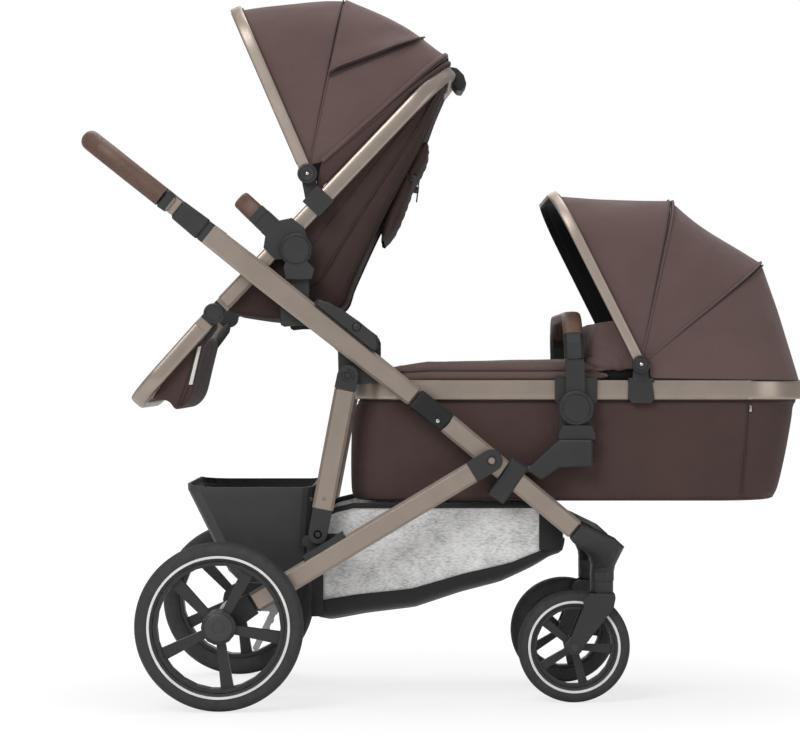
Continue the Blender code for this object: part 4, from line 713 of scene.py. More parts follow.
def panel(name, node, rows, pivot, bodies, angles=None, material=BROWN):
    """One panel of canopy cloth with its dark lining."""
    cloth = skin(name, rows, 0.0016, material, levels=1, heart=(pivot[0], 0.0, pivot[1]))
    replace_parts(span(cloth, pivot, bodies, angles), node)


def seam_lines(shape, *lines):
    """Piped seams along ribs: (name, angle, reach, foot, how far out, radius, material, body)."""
    pivot, half, corner = shape
    for name, angle, reach, foot, swell, radius, material, body in lines:
        a = radians(angle)
        points = [(pivot[0] + u * cos(a), y, pivot[1] + u * sin(a))
                  for u, y in resample(hoop(half + swell, reach, corner, foot, 14, 6, 10), 72)]
        strand(name, points, radius, material, body)


def bow(node, pivot, angle, reach, inner, outer, band, corner, root):
    """A canopy bow bent from flat tube, with its eyes and a dark lining strip inside."""
    name, thick = node + "_form", outer - inner
    path = resample(hoop((inner + outer) / 2, reach - thick / 2, corner, root * 0.6, 16, 6, 10), 90)
    ride(sweep(name, path, plane_at(pivot, angle), thick, band, METAL_BOW, 3.4, 24), node, node=node)
    path = resample(hoop(inner, reach - thick - 0.0005, corner - thick / 2, root * 1.5, 16, 6, 10), 90)
    ride(sweep(name + "_lining", path, plane_at(pivot, angle), 0.0024, band * 1.08, LINING, 3.4, 12), node)
    eye = [(0.0046, inner), (root - 0.0008, inner), (root, inner + 0.0008), (root, outer - 0.0008),
           (root - 0.0008, outer), (0.0046, outer)]
    for side, label in SIDES:
        turned("%s_eye_%s" % (name, label), eye, pivot, side, METAL_BOW, 40, node)


def pivot_cap(name, centre, face, side, radius, body):
    """A black cap over a canopy's pivot, with a ring groove and a steel rivet."""
    profile = [(0.0, 0.0), (radius * 0.24, 0.0), (radius * 0.26, -0.0006), (radius * 0.3, -0.0006),
               (radius * 0.32, 0.0), (radius * 0.7, 0.0004), (radius * 0.73, -0.0008), (radius * 0.78, -0.0008),
               (radius * 0.81, 0.0), (radius * 0.94, -0.0004), (radius, -0.0014), (radius, -0.0075)]
    rivet = [(0.0, 0.0013), (0.0016, 0.001), (0.0028, 0.0002), (0.0031, -0.0008)]
    turned(name, [(r, face + out) for r, out in profile], centre, side, BLACK, 44, body)
    turned(name + "_rivet", [(r, face + out) for r, out in rivet], centre, side, SILVER, 20, body)


def hoop_tuck(rib, half):
    """Rows of cloth, gathered in small folds, from the hoop's top up to a rib."""
    columns = len(rib) - 1
    low = [along(SEAT_HINGE, SEAT_ANGLE, u, 0.015) + (y,)
           for u, y in resample(hoop(half, 0.586, 0.09, 0.268, 14, 8, 12), columns)]
    rows = []
    for i in range(7):
        t = i / 6
        row = []
        for k, ((x, z, y), high) in enumerate(zip(low, rib)):
            start = Vector((x, y, z))
            point = start + (Vector(high) - start) * t
            ease = min(1.0, 5.0 * k / columns, 5.0 * (columns - k) / columns)
            fold = 0.0035 * sin(pi * t) * sin(0.9 * k + 5.0 * t) * ease
            row.append((point.x, point.y + copysign(fold, point.y), point.z))
        rows.append(row)
    return rows


def vent_panel(shape, bodies, angles):
    """The flap over the canopy's vent, proud along its lower edge, with a dark strand under the edge that paints
    the shadow there.
    """
    pivot, count = shape[0], 26
    rows = cloth_rows(shape, (50.5, 0.315, 0.014), (78.1, 0.318, 0.014), count, 60, -0.003, 0.003,
                      lambda t: 0.37 - 0.198 * t ** 0.4, wave=0.004, seed=8.0)
    under = [[row[end] for row in rows] for end in (0, -1)]
    for i, row in enumerate(rows):
        share = 0.3 + 0.7 * min(1.0, 5.0 * i / count) * min(1.0, 0.35 + 4.0 * (1 - i / count))
        for end, step in ((0, 1), (-1, -1)):
            for k, rise in enumerate((0.013, 0.0112, 0.0086, 0.0056, 0.003, 0.0012)):
                x, y, z = row[end + step * k]
                out = Vector((x - pivot[0], y * 1.6, z - pivot[1])).normalized()
                row[end + step * k] = tuple(Vector((x, y, z)) + out * rise * share)
    panel("seat_canopy_vent_panel", "seat_hood", rows, pivot, bodies, angles)
    for end, label in ((0, "right"), (-1, "left")):
        edge = tube("vent_edge_" + label, [row[end] for row in rows], 0.0019, BROWN)
        # painted shadow: a dark strand just under the flap's edge
        shadow_strip = tube("vent_shadow_strip_" + label, [(x, y, z - 0.0035) for x, y, z in under[end]], 0.003, SEAM)
        for piece in (edge, shadow_strip):
            span(piece, pivot, bodies, angles)


def seat_canopy():
    pivot, half, _ = shape = SEAT_PIVOT, 0.2043, 0.08
    front, mid, rear = (112.6, 0.3195, 0.014), (78.3, 0.3184, 0.014), (40.6, 0.3255, 0.03)
    fore = (("seat_bow_mid", "seat_bow_front"), (78.3, 111.1))
    back = (("seat_frame", "seat_bow_mid"), (40.6, 78.3))
    rows = cloth_rows(shape, mid, front, 12, 66, -0.0085, wave=0.008, seed=2.0)
    panel("seat_canopy_front_panel", "seat_hood", rows, pivot, *fore)
    rows = cloth_rows(shape, rear, mid, 14, 66, -0.006, wave=0.01, seed=8.0)
    panel("seat_canopy_rear_panel", "seat_hood", rows, pivot, *back)
    rows = hoop_tuck(cloth_rows(shape, rear, mid, 1, 66, 0.0)[0], half)
    panel("seat_canopy_tuck", "seat_hood", rows, pivot, ("seat_frame",), material=BROWN_SHADED)
    vent_panel(shape, *back)
    seam_lines(shape,
               ("seat_seam_mid", 78.9, 0.3192, 0.016, 0.0006, 0.0012, SEAM, "seat_bow_mid"),
               ("seat_ridge_mid", 77.9, 0.3188, 0.016, 0.0003, 0.0018, BROWN, "seat_bow_mid"),
               ("seat_seam_front", 111.4, 0.3212, 0.02, 0.0006, 0.0012, SEAM, "seat_bow_front"),
               ("seat_roll_rear", 41.6, 0.3245, 0.034, 0.0005, 0.0044, BROWN, "seat_frame"),
               ("seat_roll_rear_low", 39.2, 0.32, 0.034, -0.001, 0.004, BROWN_SHADED, "seat_frame"),
               ("seat_groove_rear", 40.4, 0.324, 0.034, 0.0024, 0.0011, SEAM, "seat_frame"))
    bow("seat_bow_front", pivot, 113.5, 0.3277, 0.2086, 0.2163, 0.0205, 0.085, 0.015)
    bow("seat_bow_mid", pivot, 78.3, 0.3144, 0.1966, 0.2018, 0.01, 0.074, 0.011)


def cot_canopy():
    pivot, _, _ = shape = COT_PIVOT, 0.2123, 0.085
    front, mid, rear = (116.0, 0.3318, 0.014), (78.4, 0.2959, 0.014), (39.0, 0.2839, 0.014)
    rows = cloth_rows(shape, mid, front, 12, 66, -0.0025, wave=0.009, seed=14.0)
    panel("cot_canopy_front_panel", "cot_hood", rows, pivot, ("cot_bow_mid", "cot_bow_front"), (78.4, 114.2))
    rows = cloth_rows(shape, rear, mid, 12, 66, 0.005, wave=0.006, seed=21.0)
    panel("cot_canopy_mid_panel", "cot_hood", rows, pivot, ("carrycot", "cot_bow_mid"), (39.0, 78.4))
    rows = cloth_rows(shape, (-5.4, 0.2885, 0.014), rear, 12, 66, -0.002, wave=0.005, seed=27.0)
    rail_top = 0.5664
    hem = [(x, y, min(z, rail_top)) for x, y, z in rows[0]]
    panel("cot_canopy_rear_panel", "cot_hood", [hem] + rows, pivot, ("carrycot",))
    seam_lines(shape,
               ("cot_seam_mid", 79.0, 0.2966, 0.016, 0.0006, 0.0011, SEAM, "cot_bow_mid"),
               ("cot_ridge_mid", 77.6, 0.2961, 0.016, 0.0003, 0.0022, BROWN, "cot_bow_mid"),
               ("cot_seam_front", 114.9, 0.333, 0.02, 0.0006, 0.0012, SEAM, "cot_bow_front"),
               ("cot_seam_rear", 38.2, 0.2845, 0.016, 0.0006, 0.0011, SEAM, "carrycot"),
               ("cot_ridge_rear", 39.4, 0.2846, 0.016, 0.0003, 0.0022, BROWN, "carrycot"))
    bow("cot_bow_front", pivot, 116.6, 0.3399, 0.2166, 0.2243, 0.0175, 0.09, 0.013)
    bow("cot_bow_mid", pivot, 78.4, 0.2919, 0.2046, 0.2098, 0.01, 0.079, 0.01)


def canopies():
    seat_canopy()
    cot_canopy()
    for side, label in SIDES:
        pivot_cap("seat_pivot_cap_" + label, SEAT_PIVOT, 0.2222, side, 0.0172, "seat_frame")
        pivot_cap("cot_pivot_cap_" + label, COT_PIVOT, 0.23, side, 0.0158, "carrycot")


# Seat

# The sling as (reach along the hoop, depth under it, half width), and its section in shares of width and depth
SLING_DEPTHS = ((0.02, 0.022, 0.1955), (0.0607, 0.08, 0.1958), (0.0931, 0.114, 0.196), (0.1583, 0.1525, 0.196),
                (0.206, 0.1365, 0.1958), (0.288, 0.108, 0.1958), (0.37, 0.083, 0.1958), (0.4761, 0.053, 0.1955),
                (0.53, 0.031, 0.186), (0.572, 0.016, 0.15))
SLING_SECTION = ((1.0, 0.0), (0.992, 0.3), (0.974, 0.62), (0.925, 0.86), (0.82, 0.97), (0.4, 1.0), (0.0, 1.0))


def under_hoop(reach, drop, y):
    """A point under the hoop of the seat."""
    x, z = along(SEAT_HINGE, SEAT_ANGLE, reach, -drop)
    return (x, y, z)


def sling():
    side = spline(SLING_SECTION, 20)
    section = [(-w, d) for w, d in side] + [(w, d) for w, d in reversed(side[:-1])]
    rows = []
    for reach, depth, half in spline(SLING_DEPTHS, 44):
        row = []
        for w, d in section:
            y = half * w
            if abs(w) > 0.9:
                pull = 0.0035 * (1.0 - abs(2 * d - 1.0)) * (sin(34 * reach + 11 * d)
                                                            + 0.7 * sin(61 * reach - 17 * d))
                y -= copysign(abs(pull) * 0.9, y)
            row.append(under_hoop(reach, depth * d, y))
        rows.append(row)
    ride(skin("seat_sling", rows, 0.0045, SLING_SHADED, levels=1), "seat_frame", node="seat_fabric")
    for share, radius in ((0.3, 0.0016), (0.62, 0.0013)):
        for side, label in SIDES:
            line = [under_hoop(reach, depth * share, side * half * (0.994 - 0.03 * share))
                    for reach, depth, half in spline(SLING_DEPTHS, 40)[9:]]
            strand("sling_seam_%d_%s" % (round(share * 100), label), line, radius, SEAM, "seat_frame", 6)
    for side, label in SIDES:
        line = [under_hoop(reach, depth - 0.002, side * half * 0.8)
                for reach, depth, half in spline(SLING_DEPTHS, 40)[12:]]
        strand("sling_binding_" + label, line, 0.003, SLING_SHADED, "seat_frame")


def liner():
    """A quilted pad that lies in the sling."""
    quilt_pitch = 0.072
    pad = []
    for reach, depth, half in spline(SLING_DEPTHS, 60)[6:]:
        row = []
        for k in range(41):
            w = 2.0 * k / 40 - 1.0
            quilt = abs(sin(pi * reach / quilt_pitch)) ** 0.5 * abs(cos(pi * w * 1.5)) ** 0.35
            d = depth * (1.0 - 0.1 * abs(w) ** 4) - 0.0075 - 0.0085 * quilt * (1 - w ** 8)
            row.append(under_hoop(reach, max(d, 0.004), half * 0.8 * w))
        pad.append(row)
    ride(skin("seat_liner", pad, 0.004, BROWN, offset=1.0), "seat_frame")


def vent_roll():
    """The rolled vent flap behind the back, drawn in by its straps."""
    # (x, z, half thickness) from its lower to its upper end
    track = spline([(-0.1075, 0.813, 0.003), (-0.0985, 0.833, 0.011), (-0.0865, 0.865, 0.015),
                    (-0.0745, 0.896, 0.0148), (-0.061, 0.924, 0.0118), (-0.048, 0.95, 0.0135),
                    (-0.0365, 0.974, 0.012), (-0.03, 0.986, 0.004)], 36)
    half_width = 0.148
    rows = []
    for i, ((x, z, r), run) in enumerate(zip(track, directions([spot[:2] for spot in track]))):
        out = Vector((run.y, -run.x))
        row = []
        for a in turns(48):
            ca, sa = cos(a), sin(a)
            deep = signed(sa, 0.75) * r * (1.0 + 0.1 * sin(9 * i / 4.0 + 2 * ca))
            deep += 0.001 * sin(14.0 * ca + 0.6 * i)
            row.append((x + out.x * deep, signed(ca, 0.3) * half_width, z + out.y * deep))
        rows.append(row)
    ride(skin("vent_roll", rows, 0.0, SLING_SHADED, loop=True, levels=1), "seat_frame")
    x, z = -0.06, 0.9255
    run = Vector((0.015, 0.031)).normalized()
    out = Vector((run.y, -run.x))
    tail = [(-0.0475, 0.931), (-0.044, 0.921), (-0.0448, 0.909), (-0.0462, 0.899)]
    buckle = [(-0.06, 0.918), (-0.0425, 0.915), (-0.041, 0.927), (-0.0585, 0.93)]
    for side, label in SIDES:
        loop = [(x + out.x * 0.0142 * sin(a), side * 0.134 + 0.0162 * cos(a), z + out.y * 0.0142 * sin(a))
                for a in turns(24)]
        strand("vent_strap_" + label, loop, 0.0024, BLACK_WEB, "seat_frame", cyclic=True)
        line = [(a, side * 0.1475, b) for a, b in tail]
        strand("vent_tail_" + label, line, 0.0022, BLACK_WEB, "seat_frame", flat=0.6)
        ride(slab("vent_buckle_" + label, buckle, side * 0.144, side * 0.15, BLACK, 0.0012), "seat_frame")


def footrest():
    outline = [along(SEAT_HINGE, FOOTREST_ANGLE, reach, drop)
               for reach, drop in ((0.04, 0.004), (0.085, 0.0048), (0.13, 0.0055), (0.15, 0.014),
                                   (0.188, 0.0152))]
    outline += [(-0.506, 0.533), (-0.49, 0.5325), (-0.479, 0.529), (-0.474, 0.519), (-0.469, 0.515),
                (-0.463, 0.5165), (-0.454, 0.522), (-0.445, 0.533), (-0.44, 0.545), (-0.4374, 0.555),
                (-0.433, 0.575), (-0.428, 0.596), (-0.4225, 0.618), (-0.417, 0.639)]
    cx, cz = (sum(p[c] for p in outline) / len(outline) for c in (0, 1))
    half = 0.1962
    rings = [[(cx + (x - cx) * size, half * w, cz + (z - cz) * size) for x, z in outline]
             for w, size in ((-1.0, 0.955), (-0.99, 0.985), (-0.965, 1.0), (-0.6, 1.0), (-0.2, 1.0), (0.2, 1.0),
                             (0.6, 1.0), (0.965, 1.0), (0.99, 0.985), (1.0, 0.955))]
    pad = net("calf_pad", rings, BROWN_SHADED, 70.0, caps=(0, -1))
    assign(pad.modifiers.new("smooth", "SUBSURF"), levels=1)
    settle(pad)
    pad.data.shade_smooth()
    ride(pad, "footrest", node="footrest_fabric")
    seams = (((-0.4335, 0.627), (-0.444, 0.585), (-0.456, 0.548), (-0.4655, 0.523)),
             ((-0.43, 0.62), (-0.4395, 0.58), (-0.45, 0.545), (-0.461, 0.521)))
    tape = [(-0.43, 0.625), (-0.424, 0.627), (-0.4395, 0.559), (-0.446, 0.559)]
    stay = [(-0.418, 0.656), (-0.406, 0.67), (-0.399, 0.674), (-0.396, 0.668), (-0.398, 0.656),
            (-0.408, 0.642), (-0.421, 0.625), (-0.429, 0.606), (-0.432, 0.61), (-0.423, 0.642)]
    cap = [(0.0, 0.2222), (0.012, 0.2222), (0.0126, 0.2212), (0.0138, 0.2212), (0.0144, 0.2224), (0.0172, 0.2219),
           (0.0178, 0.2205), (0.0178, 0.207)]
    for side, label in SIDES:
        for k, line in enumerate(seams):
            line = [(x, side * (half + 0.0004), z) for x, z in line]
            strand("calf_seam_%d_%s" % (k, label), line, 0.001, SEAM, "footrest", 6)
        ride(slab("calf_tape_" + label, tape, side * 0.1955, side * 0.199, WHITE_WEB, 0.0006), "footrest")
        ride(slab("footrest_stay_" + label, stay, side * 0.17, side * 0.186, BLACK, 0.0025), "footrest")
        turned("footrest_cap_" + label, cap, SEAT_HINGE, side, BLACK, 44, "footrest")


# Carrycot

TUB_CORNERS = (0.0655, 0.0975)


def carrycot():
    levels = ((0.56, -0.1475, 0.627, 0.2018), (0.533, -0.148, 0.627, 0.202), (0.52, -0.1545, 0.6215, 0.2032),
              (0.495, -0.161, 0.618, 0.2045), (0.4393, -0.1634, 0.608, 0.205), (0.385, -0.163, 0.596, 0.204),
              (0.364, -0.16, 0.588, 0.2015), (0.357, -0.153, 0.58, 0.196), (0.3556, -0.138, 0.564, 0.181))
    rows = []
    for z, low, high, half in spline(levels, 32):
        row = []
        for x, y in plan_ring(low, high, half, *TUB_CORNERS):
            soft = 0.0016 * noise.noise(Vector((9.0 * x, 9.0 * y, 5.0 * z))) * min(1.0, (0.56 - z) * 20)
            row.append((x, y + copysign(soft, y), z))
        rows.append(row)
    foot, middle = rows[-1], 0.213
    for share in (0.8, 0.5, 0.2):
        rows.append([(middle + (x - middle) * share, y * share, 0.3556) for x, y, _ in foot])
    tub = skin("cot_tub", rows, 0.005, BROWN_SHADED, loop=True, smooth=50.0, capped=True)
    ride(tub, "carrycot", node="cot_body")
    for z, low, high, half, radius, label in ((0.5285, -0.15, 0.625, 0.2026, 0.0015, "top"),
                                              (0.3605, -0.157, 0.585, 0.2005, 0.0014, "base")):
        ring = [(x, y, z) for x, y in plan_ring(low, high, half, *TUB_CORNERS)]
        strand("cot_piping_" + label, ring, radius, SEAM, "carrycot", 6, cyclic=True)
    zip_line = [(0.53, 0.2045, 0.529), (0.529, 0.2052, 0.495), (0.525, 0.2058, 0.44), (0.52, 0.205, 0.39),
                (0.519, 0.2022, 0.364)]
    pull = [(0.533, 0.523), (0.5358, 0.523), (0.5365, 0.512), (0.532, 0.512)]
    for side, label in SIDES:
        strand("cot_zip_" + label, [(x, side * y, z) for x, y, z in zip_line], 0.0011, SEAM, "carrycot", 6)
        ride(slab("zip_pull_" + label, pull, side * 0.205, side * 0.2068, SILVER, 0.0006), "carrycot")
    # the mattress and the dark lining inside, seen under the canopy
    inner, middle = plan_ring(-0.14, 0.598, 0.1935, 0.058, 0.09), 0.229
    rows = [[(x, y, z) for x, y in inner] for z in (0.559, 0.5, 0.45)]
    ride(skin("cot_lining", rows, 0.0015, LINING, loop=True), "carrycot")
    rows = []
    for share in (1.0, 0.985, 0.96, 0.9, 0.7, 0.4, 0.1):
        rise = 0.402 + 0.038 * (1 - share ** 16)
        rows.append([(middle + (x - middle) * share * 0.985, y * share * 0.985, rise) for x, y in inner])
    ride(skin("mattress", rows, 0.0, BROWN, loop=True, capped=True), "carrycot")


def cover():
    """The cover over the foot half, with its side in two padded layers that end in a rounded tongue."""
    crown = ((-0.1478, 0.5669), (-0.12, 0.583), (-0.077, 0.5943), (0.0103, 0.6015), (0.1, 0.604),
             (0.2, 0.6058), (0.24, 0.606))
    edge_height, half, corner, bend_end = 0.5665, 0.199, 0.0653, -0.0825
    rows = []
    for i in range(45):
        x = -0.147 + 0.386 * (i / 44)
        edge = half if x > bend_end else half - corner + sqrt(max(0.0, corner ** 2 - (bend_end - x) ** 2))
        row = []
        for k in range(49):
            w = 2 * k / 48 - 1
            w = copysign(1 - (1 - abs(w)) ** 1.35, w)
            top = edge_height + (line_height(x, crown) - edge_height) * (1 - abs(w) ** 2.4)
            crease = 0.0012 * noise.noise(Vector((16.0 * x, 8.0 * w, 3.0)))
            row.append((x, edge * w, top + crease * (1 - abs(w) ** 6) - 0.0015))
        rows.append(row)
    ride(skin("cot_cover", rows, 0.004, BROWN, smooth=70), "carrycot", node="cot_apron")
    # (height, radius, how far forward it runs, half width) of the side's layers
    layers = ((0.59, 0.0098, 0.29, 0.1945), (0.5748, 0.0088, 0.289, 0.1985))
    for side, label in SIDES:
        for k, (z, radius, reach, wide) in enumerate(layers):
            line, x = [], -0.1
            while x < reach:
                lift = max(0.0, -0.03 - x) * 0.16
                line.append((x, side * (wide - max(0.0, x - 0.23) * 0.25), z - lift * (1.0 - 0.4 * k)))
                x += 0.012
            roll = tube("cover_roll_%d_%s" % (k, label), line, radius, BROWN, 14)
            for vertex in roll.data.vertices:
                start = min(1.0, max(0.12, (vertex.co.x + 0.1) / 0.03))
                size = start * min(1.0, max(0.05, (reach - vertex.co.x) / 0.03)) ** 0.5
                mid = Vector((vertex.co.x, side * wide, z))
                vertex.co = mid + (vertex.co - mid) * Vector((1.0, size, size))
            ride(roll, "carrycot")
        line = [(-0.09 + 0.02 * i, side * 0.203, 0.582) for i in range(19)]
        strand("cover_seam_" + label, line, 0.001, SEAM, "carrycot", 6)


def wind_flap():
    """The flap that stands behind the carry handle and runs back along both sides, with lobes at its foot."""
    front_x = 0.245
    plan = spline([(0.335, -0.1955), (0.3, -0.1965), (0.272, -0.1955), (0.254, -0.188), (0.247, -0.17),
                   (front_x, -0.13), (front_x, -0.06), (front_x, 0.0)], 30)
    plan += [(x, -y) for x, y in reversed(plan[:-1])]
    rows = []
    for i in range(19):
        t = i / 18
        row = []
        for k, (x, y) in enumerate(plan):
            s = abs(2 * k / (len(plan) - 1) - 1)
            side = max(0.0, min(1.0, (x - front_x) / 0.05))
            foot, high = 0.578 + 0.008 * side, 0.669 - 0.006 * (1 - side)
            curl = 0.022 * t ** 3.0 * (1 - side * 0.35)
            soft = 0.003 * noise.noise(Vector((14.0 * x, 14.0 * y, 6.0 * t))) + 0.0022 * sin(9.0 * s + 5.0 * t)
            row.append((x + curl + soft * (1 - side), y - copysign(soft * side, y), foot + (high - foot) * t))
        rows.append(row)
    ride(skin("wind_flap", rows, 0.006, BROWN, levels=1, offset=0.0), "carrycot")
    strand("wind_flap_binding", rows[-1], 0.0036, BROWN, "carrycot")
    # (x, z, half length, half height, turn)
    lobes = ((0.276, 0.596, 0.03, 0.011, -12.0), (0.296, 0.601, 0.026, 0.015, -34.0))
    for side, label in SIDES:
        # painted shadow: a dark sheet on each side under the hood's edge, where the flap shades the cot
        shade = [[(x, side * 0.189, z) for z in (0.559, 0.58, 0.606)] for x in (0.23, 0.27, 0.31, 0.348)]
        ride(skin("hood_painted_shadow_" + label, shade, 0.0015, LINING, offset=0.0), "carrycot")
        for k, (x, z, long, tall, turn) in enumerate(lobes):
            work = bmesh.new()
            bmesh.ops.create_uvsphere(work, u_segments=28, v_segments=16, radius=1.0)
            c, n = cos(radians(turn)), sin(radians(turn))
            for vertex in work.verts:
                u, w, v = vertex.co
                pinch = 1.0 - 0.35 * max(0.0, u) ** 2
                du, dv = u * long, v * tall * pinch
                vertex.co = (x + du * c - dv * n, side * (0.193 + 0.0085 * w * pinch), z + du * n + dv * c)
            ride(mesh_piece("flap_lobe_%d_%s" % (k, label), work, BROWN), "carrycot")


# Basket

def basket():
    top = ((-0.2323, 0.295), (-0.2, 0.34), (-0.158, 0.35), (0.165, 0.35), (0.213, 0.338))
    base = ((-0.2323, 0.14), (-0.1346, 0.1583), (-0.0512, 0.1685), (0.029, 0.1952), (0.0992, 0.2135),
            (0.1493, 0.2369), (0.186, 0.257), (0.213, 0.26))
    middle, border_height = -0.0097, 0.034
    plan = plan_ring(-0.232, 0.2128, 0.1985, 0.03, 0.034, 8)
    # (share of the depth, size along, size across)
    taper = ((0.0, 1.0, 1.0), (0.15, 0.998, 0.998), (0.3, 0.995, 0.995), (0.55, 0.99, 0.985),
             (0.78, 0.983, 0.965), (0.93, 0.955, 0.905), (1.0, 0.86, 0.75))
    rows = []
    for drop, long, wide in spline(taper, 26):
        row = []
        for x, y in plan:
            px, py = middle + (x - middle) * long, y * wide
            high, low = line_height(px, top), line_height(px, base)
            sag = 0.0022 * noise.noise(Vector((11.0 * x, 11.0 * y, 4.0 * drop)))
            sag = copysign(sag * (1 if drop > 0.1 else 0), y)
            row.append((px, py + sag, high + (low - high) * min(1.0, drop)))
        rows.append(row)
    side_rows = list(rows)
    for share in (0.75, 0.45, 0.12):
        floor = [(middle + (x - middle) * share, y * share) for x, y, _ in side_rows[-1]]
        rows.append([(x, y, line_height(x, base) + 0.001) for x, y in floor])
    mesh = skin("basket_mesh", rows, 0.0022, MESH_CLOTH, loop=True, capped=True)
    ride(mesh, "lower_frame", node="basket")
    # the black edging: rim, foot band and corner straps
    rim = [(x, y, line_height(x, top) - 0.002) for x, y in plan]
    strand("basket_rim", rim, 0.005, BLACK_WEB, "lower_frame", slot="mesh_fabric", cyclic=True)
    border = []
    for j in range(8):
        ring = []
        for k, (_, _, foot) in enumerate(side_rows[-1]):
            goal = foot + border_height * (1 - j / 7)
            for above, below in zip(side_rows, side_rows[1:]):
                if below[k][2] <= goal:
                    break
            t = min(1.0, max(0.0, (above[k][2] - goal) / max(1e-6, above[k][2] - below[k][2])))
            x, y = (above[k][c] + (below[k][c] - above[k][c]) * t for c in (0, 1))
            ring.append((middle + (x - middle) * 1.004, y * 1.01, goal))
        border.append(ring)
    edging = {"basket_border": (border, 0.0018, True, 1.0)}
    for hand, label in SIDES:
        for k, (x, behind) in enumerate(((0.198, 0.032), (-0.22, 0.0122))):
            low, high = line_height(x, base) + 0.012, line_height(x, top) - line_height(x, base) - 0.014
            heights = [low + high * i / 8 for i in range(9)]
            post = [[(x - behind, hand * 0.1992, z), (x + 0.009, hand * 0.1968, z)] for z in heights]
            edging["basket_post_%d_%s" % (k, label)] = (post, 0.0022, False, 0.0)
    for name, (strip, thickness, loop, offset) in edging.items():
        ride(skin(name, strip, thickness, BLACK_WEB, loop=loop, offset=offset), "lower_frame")


# Grips, bends, caps and small fittings

def grip(name, body, node, place, path, width, height, power, seam):
    """A leather grip on a bent bar, with a row of stitches on its inside."""
    ride(sweep(name + "_grip_form", path, place, width, height, LEATHER, power, 28), body, node=node)
    line = [place @ Vector((u, y, 0.0)) for u, y in inward(path, seam)[3:-3]]
    ride(stitches(name + "_stitches", line), body)


def grips():
    path = resample(hoop(0.235, 0.252, 0.062, 0.0888, 18, 4, 14), 110)
    place = plane_at(UPPER_TOP, UPPER_ANGLE + 180.0)
    grip("handle", "handle", "handle_grip", place, path, 0.036, 0.036, 2.2, 0.0181)
    path = resample(hoop(0.2095, 0.129, 0.031, 0.0963, 14, 3, 16), 100)
    grip("bumper", "bumper", "bumper_grip", plane_at(SEAT_HUB, BUMPER_ANGLE), path, 0.0176, 0.0326, 3.0, 0.0089)
    arch = hoop(0.2239, 0.1604, 0.07, 0.03, 20, 6, 14)
    path = resample([p for p in arch if p[0] > 0.1268 or abs(p[1]) < 0.12], 100)
    grip("carry", "carry_handle", "carry_grip", plane_at(COT_HUB, CARRY_ANGLE), path, 0.0178, 0.034, 3.0, 0.009)


def fine_tubes():
    """Smooth bends over the faceted ones of the rail and the two hoops."""
    path = plan_ring(-0.1525, 0.632, 0.2065, 0.066, 0.098, 14)
    ride(sweep("cot_rail_form", path, Matrix.Translation((0.0, 0.0, 0.55015)), 0.0086, 0.0337, METAL, 4.5, 24,
               cyclic=True), "carrycot")
    for name, body, angle, path in (
            ("seat_hoop_form", "seat_frame", SEAT_ANGLE,
             resample(hoop(HOOP_HALF, 0.593, 0.095, 0.11, 18, 8, 8), 120)),
            ("footrest_hoop_form", "footrest", FOOTREST_ANGLE,
             resample(hoop(HOOP_HALF, 0.203, 0.06, 0.034, 16, 6, 8), 90))):
        ride(sweep(name, path, plane_at(SEAT_HINGE, angle), 0.0186, 0.0286, METAL, 4.0, 24), body)


def fittings():
    half = 0.0011
    screw_spot, rivet_spot = along(FOLD, -60.0, 0.02), along(STRUT_FOOT, 100.0, 0.062)
    for side, label in SIDES:
        # fine moulded rings on the caps, as the edges of their inlays
        for name, centre, face, radius, body in (("seat_hub", SEAT_HUB, HUB_FACE, 0.024, "seat_base"),
                                                 ("cot_hub", COT_HUB, HUB_FACE, 0.024, "carrycot"),
                                                 ("leg", LEG_PIVOT, 0.2685, 0.008, "rear_frame"),
                                                 ("strut", STRUT_TOP, 0.244, 0.0105, "struts")):
            ring = [(radius - half, face - 0.0002), (radius - half * 0.5, face + 0.0006),
                    (radius + half * 0.5, face + 0.0006), (radius + half, face - 0.0002)]
            turned("%s_ring_%s" % (name, label), ring, centre, side, BLACK_GLOSS, 56, body)
        screw = [(0.0, 0.2489), (0.0024, 0.2488), (0.0034, 0.2484), (0.0036, 0.2478)]
        turned("fold_screw_" + label, screw, screw_spot, side, SILVER, 18, "upper_frame")
        rivet = [(0.0, 0.2446), (0.0022, 0.2445), (0.0032, 0.244)]
        turned("leg_rivet_" + label, rivet, rivet_spot, side, BLACK_GLOSS, 16, "struts")


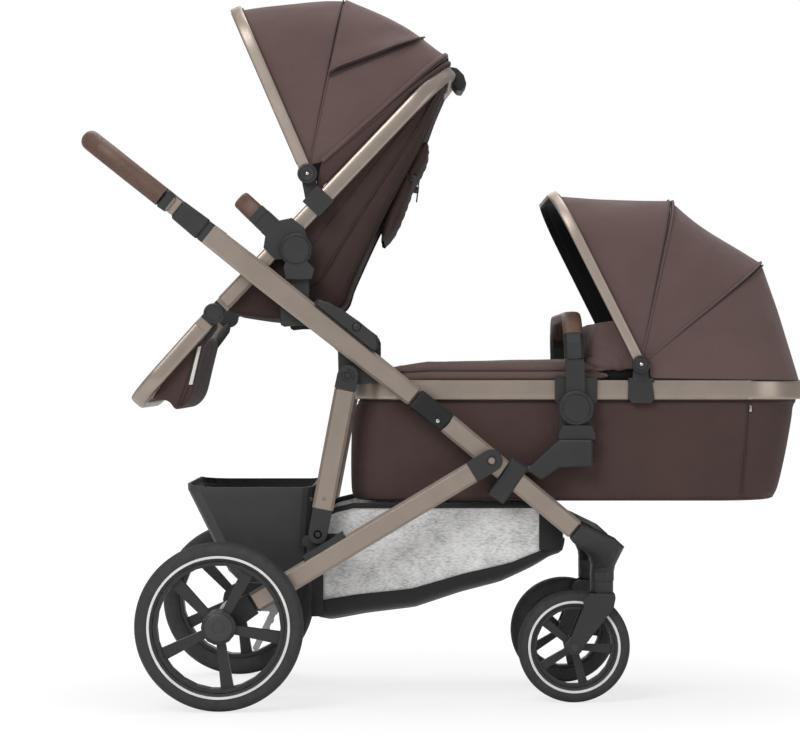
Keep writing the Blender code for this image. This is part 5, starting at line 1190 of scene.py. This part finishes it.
def finishes():
    """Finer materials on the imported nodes."""
    strut_angle = degrees(atan2(STRUT_FOOT[1] - STRUT_TOP[1], STRUT_FOOT[0] - STRUT_TOP[0]))
    strut_length = dist(STRUT_TOP, STRUT_FOOT)
    hinge_angles = (SEAT_ANGLE, FOOTREST_ANGLE)
    seat_end, footrest_end = ((SEAT_HINGE, angle, -0.03, 0.019, 0.02) for angle in hinge_angles)
    pairs = {
        "strut_": split("strut_finish", (STRUT_TOP, strut_angle, -0.05, 0.025, 0.03),
                        (STRUT_TOP, strut_angle, strut_length - 0.044, strut_length + 0.05, 0.03)),
        "rear_leg_": split("leg_finish", (LEG_PIVOT, LEG_ANGLE, -0.05, 0.0393, 0.03),
                           (along(LEG_PIVOT, LEG_ANGLE, 0.3245, -0.045), LEG_ANGLE, -0.0415, 0.0415, 0.0295)),
        "lower_tube_": split("lower_finish", (FOLD, LOWER_ANGLE, -0.05, 0.0345, 0.03)),
        "upper_tube_": split("sleeve_finish", (UPPER_TOP, UPPER_ANGLE, -0.064, 0.015, 0.05)),
        "fold_housing_": BLACK_GLOSS}
    for name in ("seat_mount", "seat_button", "front_casting", "adapter", "rear_rim", "front_rim", "caster_fork",
                 "seat_hub", "canopy_clip", "cot_hub"):
        pairs[name + "_"] = BLACK
    for name, material in pairs.items():
        paint(material, name + "right", name + "left")
    paint(METAL_BOW, "seat_bow_front", "seat_bow_mid", "cot_bow_front", "cot_bow_mid")
    paint(split("hoop_finish", (SEAT_HUB, SEAT_ANGLE, -0.037, 0.043, 0.046),
                (SEAT_HUB, BUMPER_ANGLE, 0.0, 0.09, 0.03), seat_end), "seat_tube")
    paint(split("footrest_finish", footrest_end), "footrest_tube")
    paint(split("rail_finish", ((COT_PIVOT[0] + 0.001, 0.57), 90.0, -0.045, 0.05, 0.0232)), "cot_rail")
    paint(split("handle_finish", (UPPER_TOP, UPPER_ANGLE, -0.4, -0.07, 0.05)), "handle_bar")
    paint(BLACK, "rear_axle", "front_cross_tube", "recline_lever", "bumper_bar", "carry_handle")
    paint(PEDAL, "brake_pedal")
    paint(TUB, "rear_tub")


for step in (studio, finishes, wheels, canopies, sling, liner, vent_roll, footrest, carrycot, cover, wind_flap,
             basket, grips, fine_tubes, fittings):
    step()
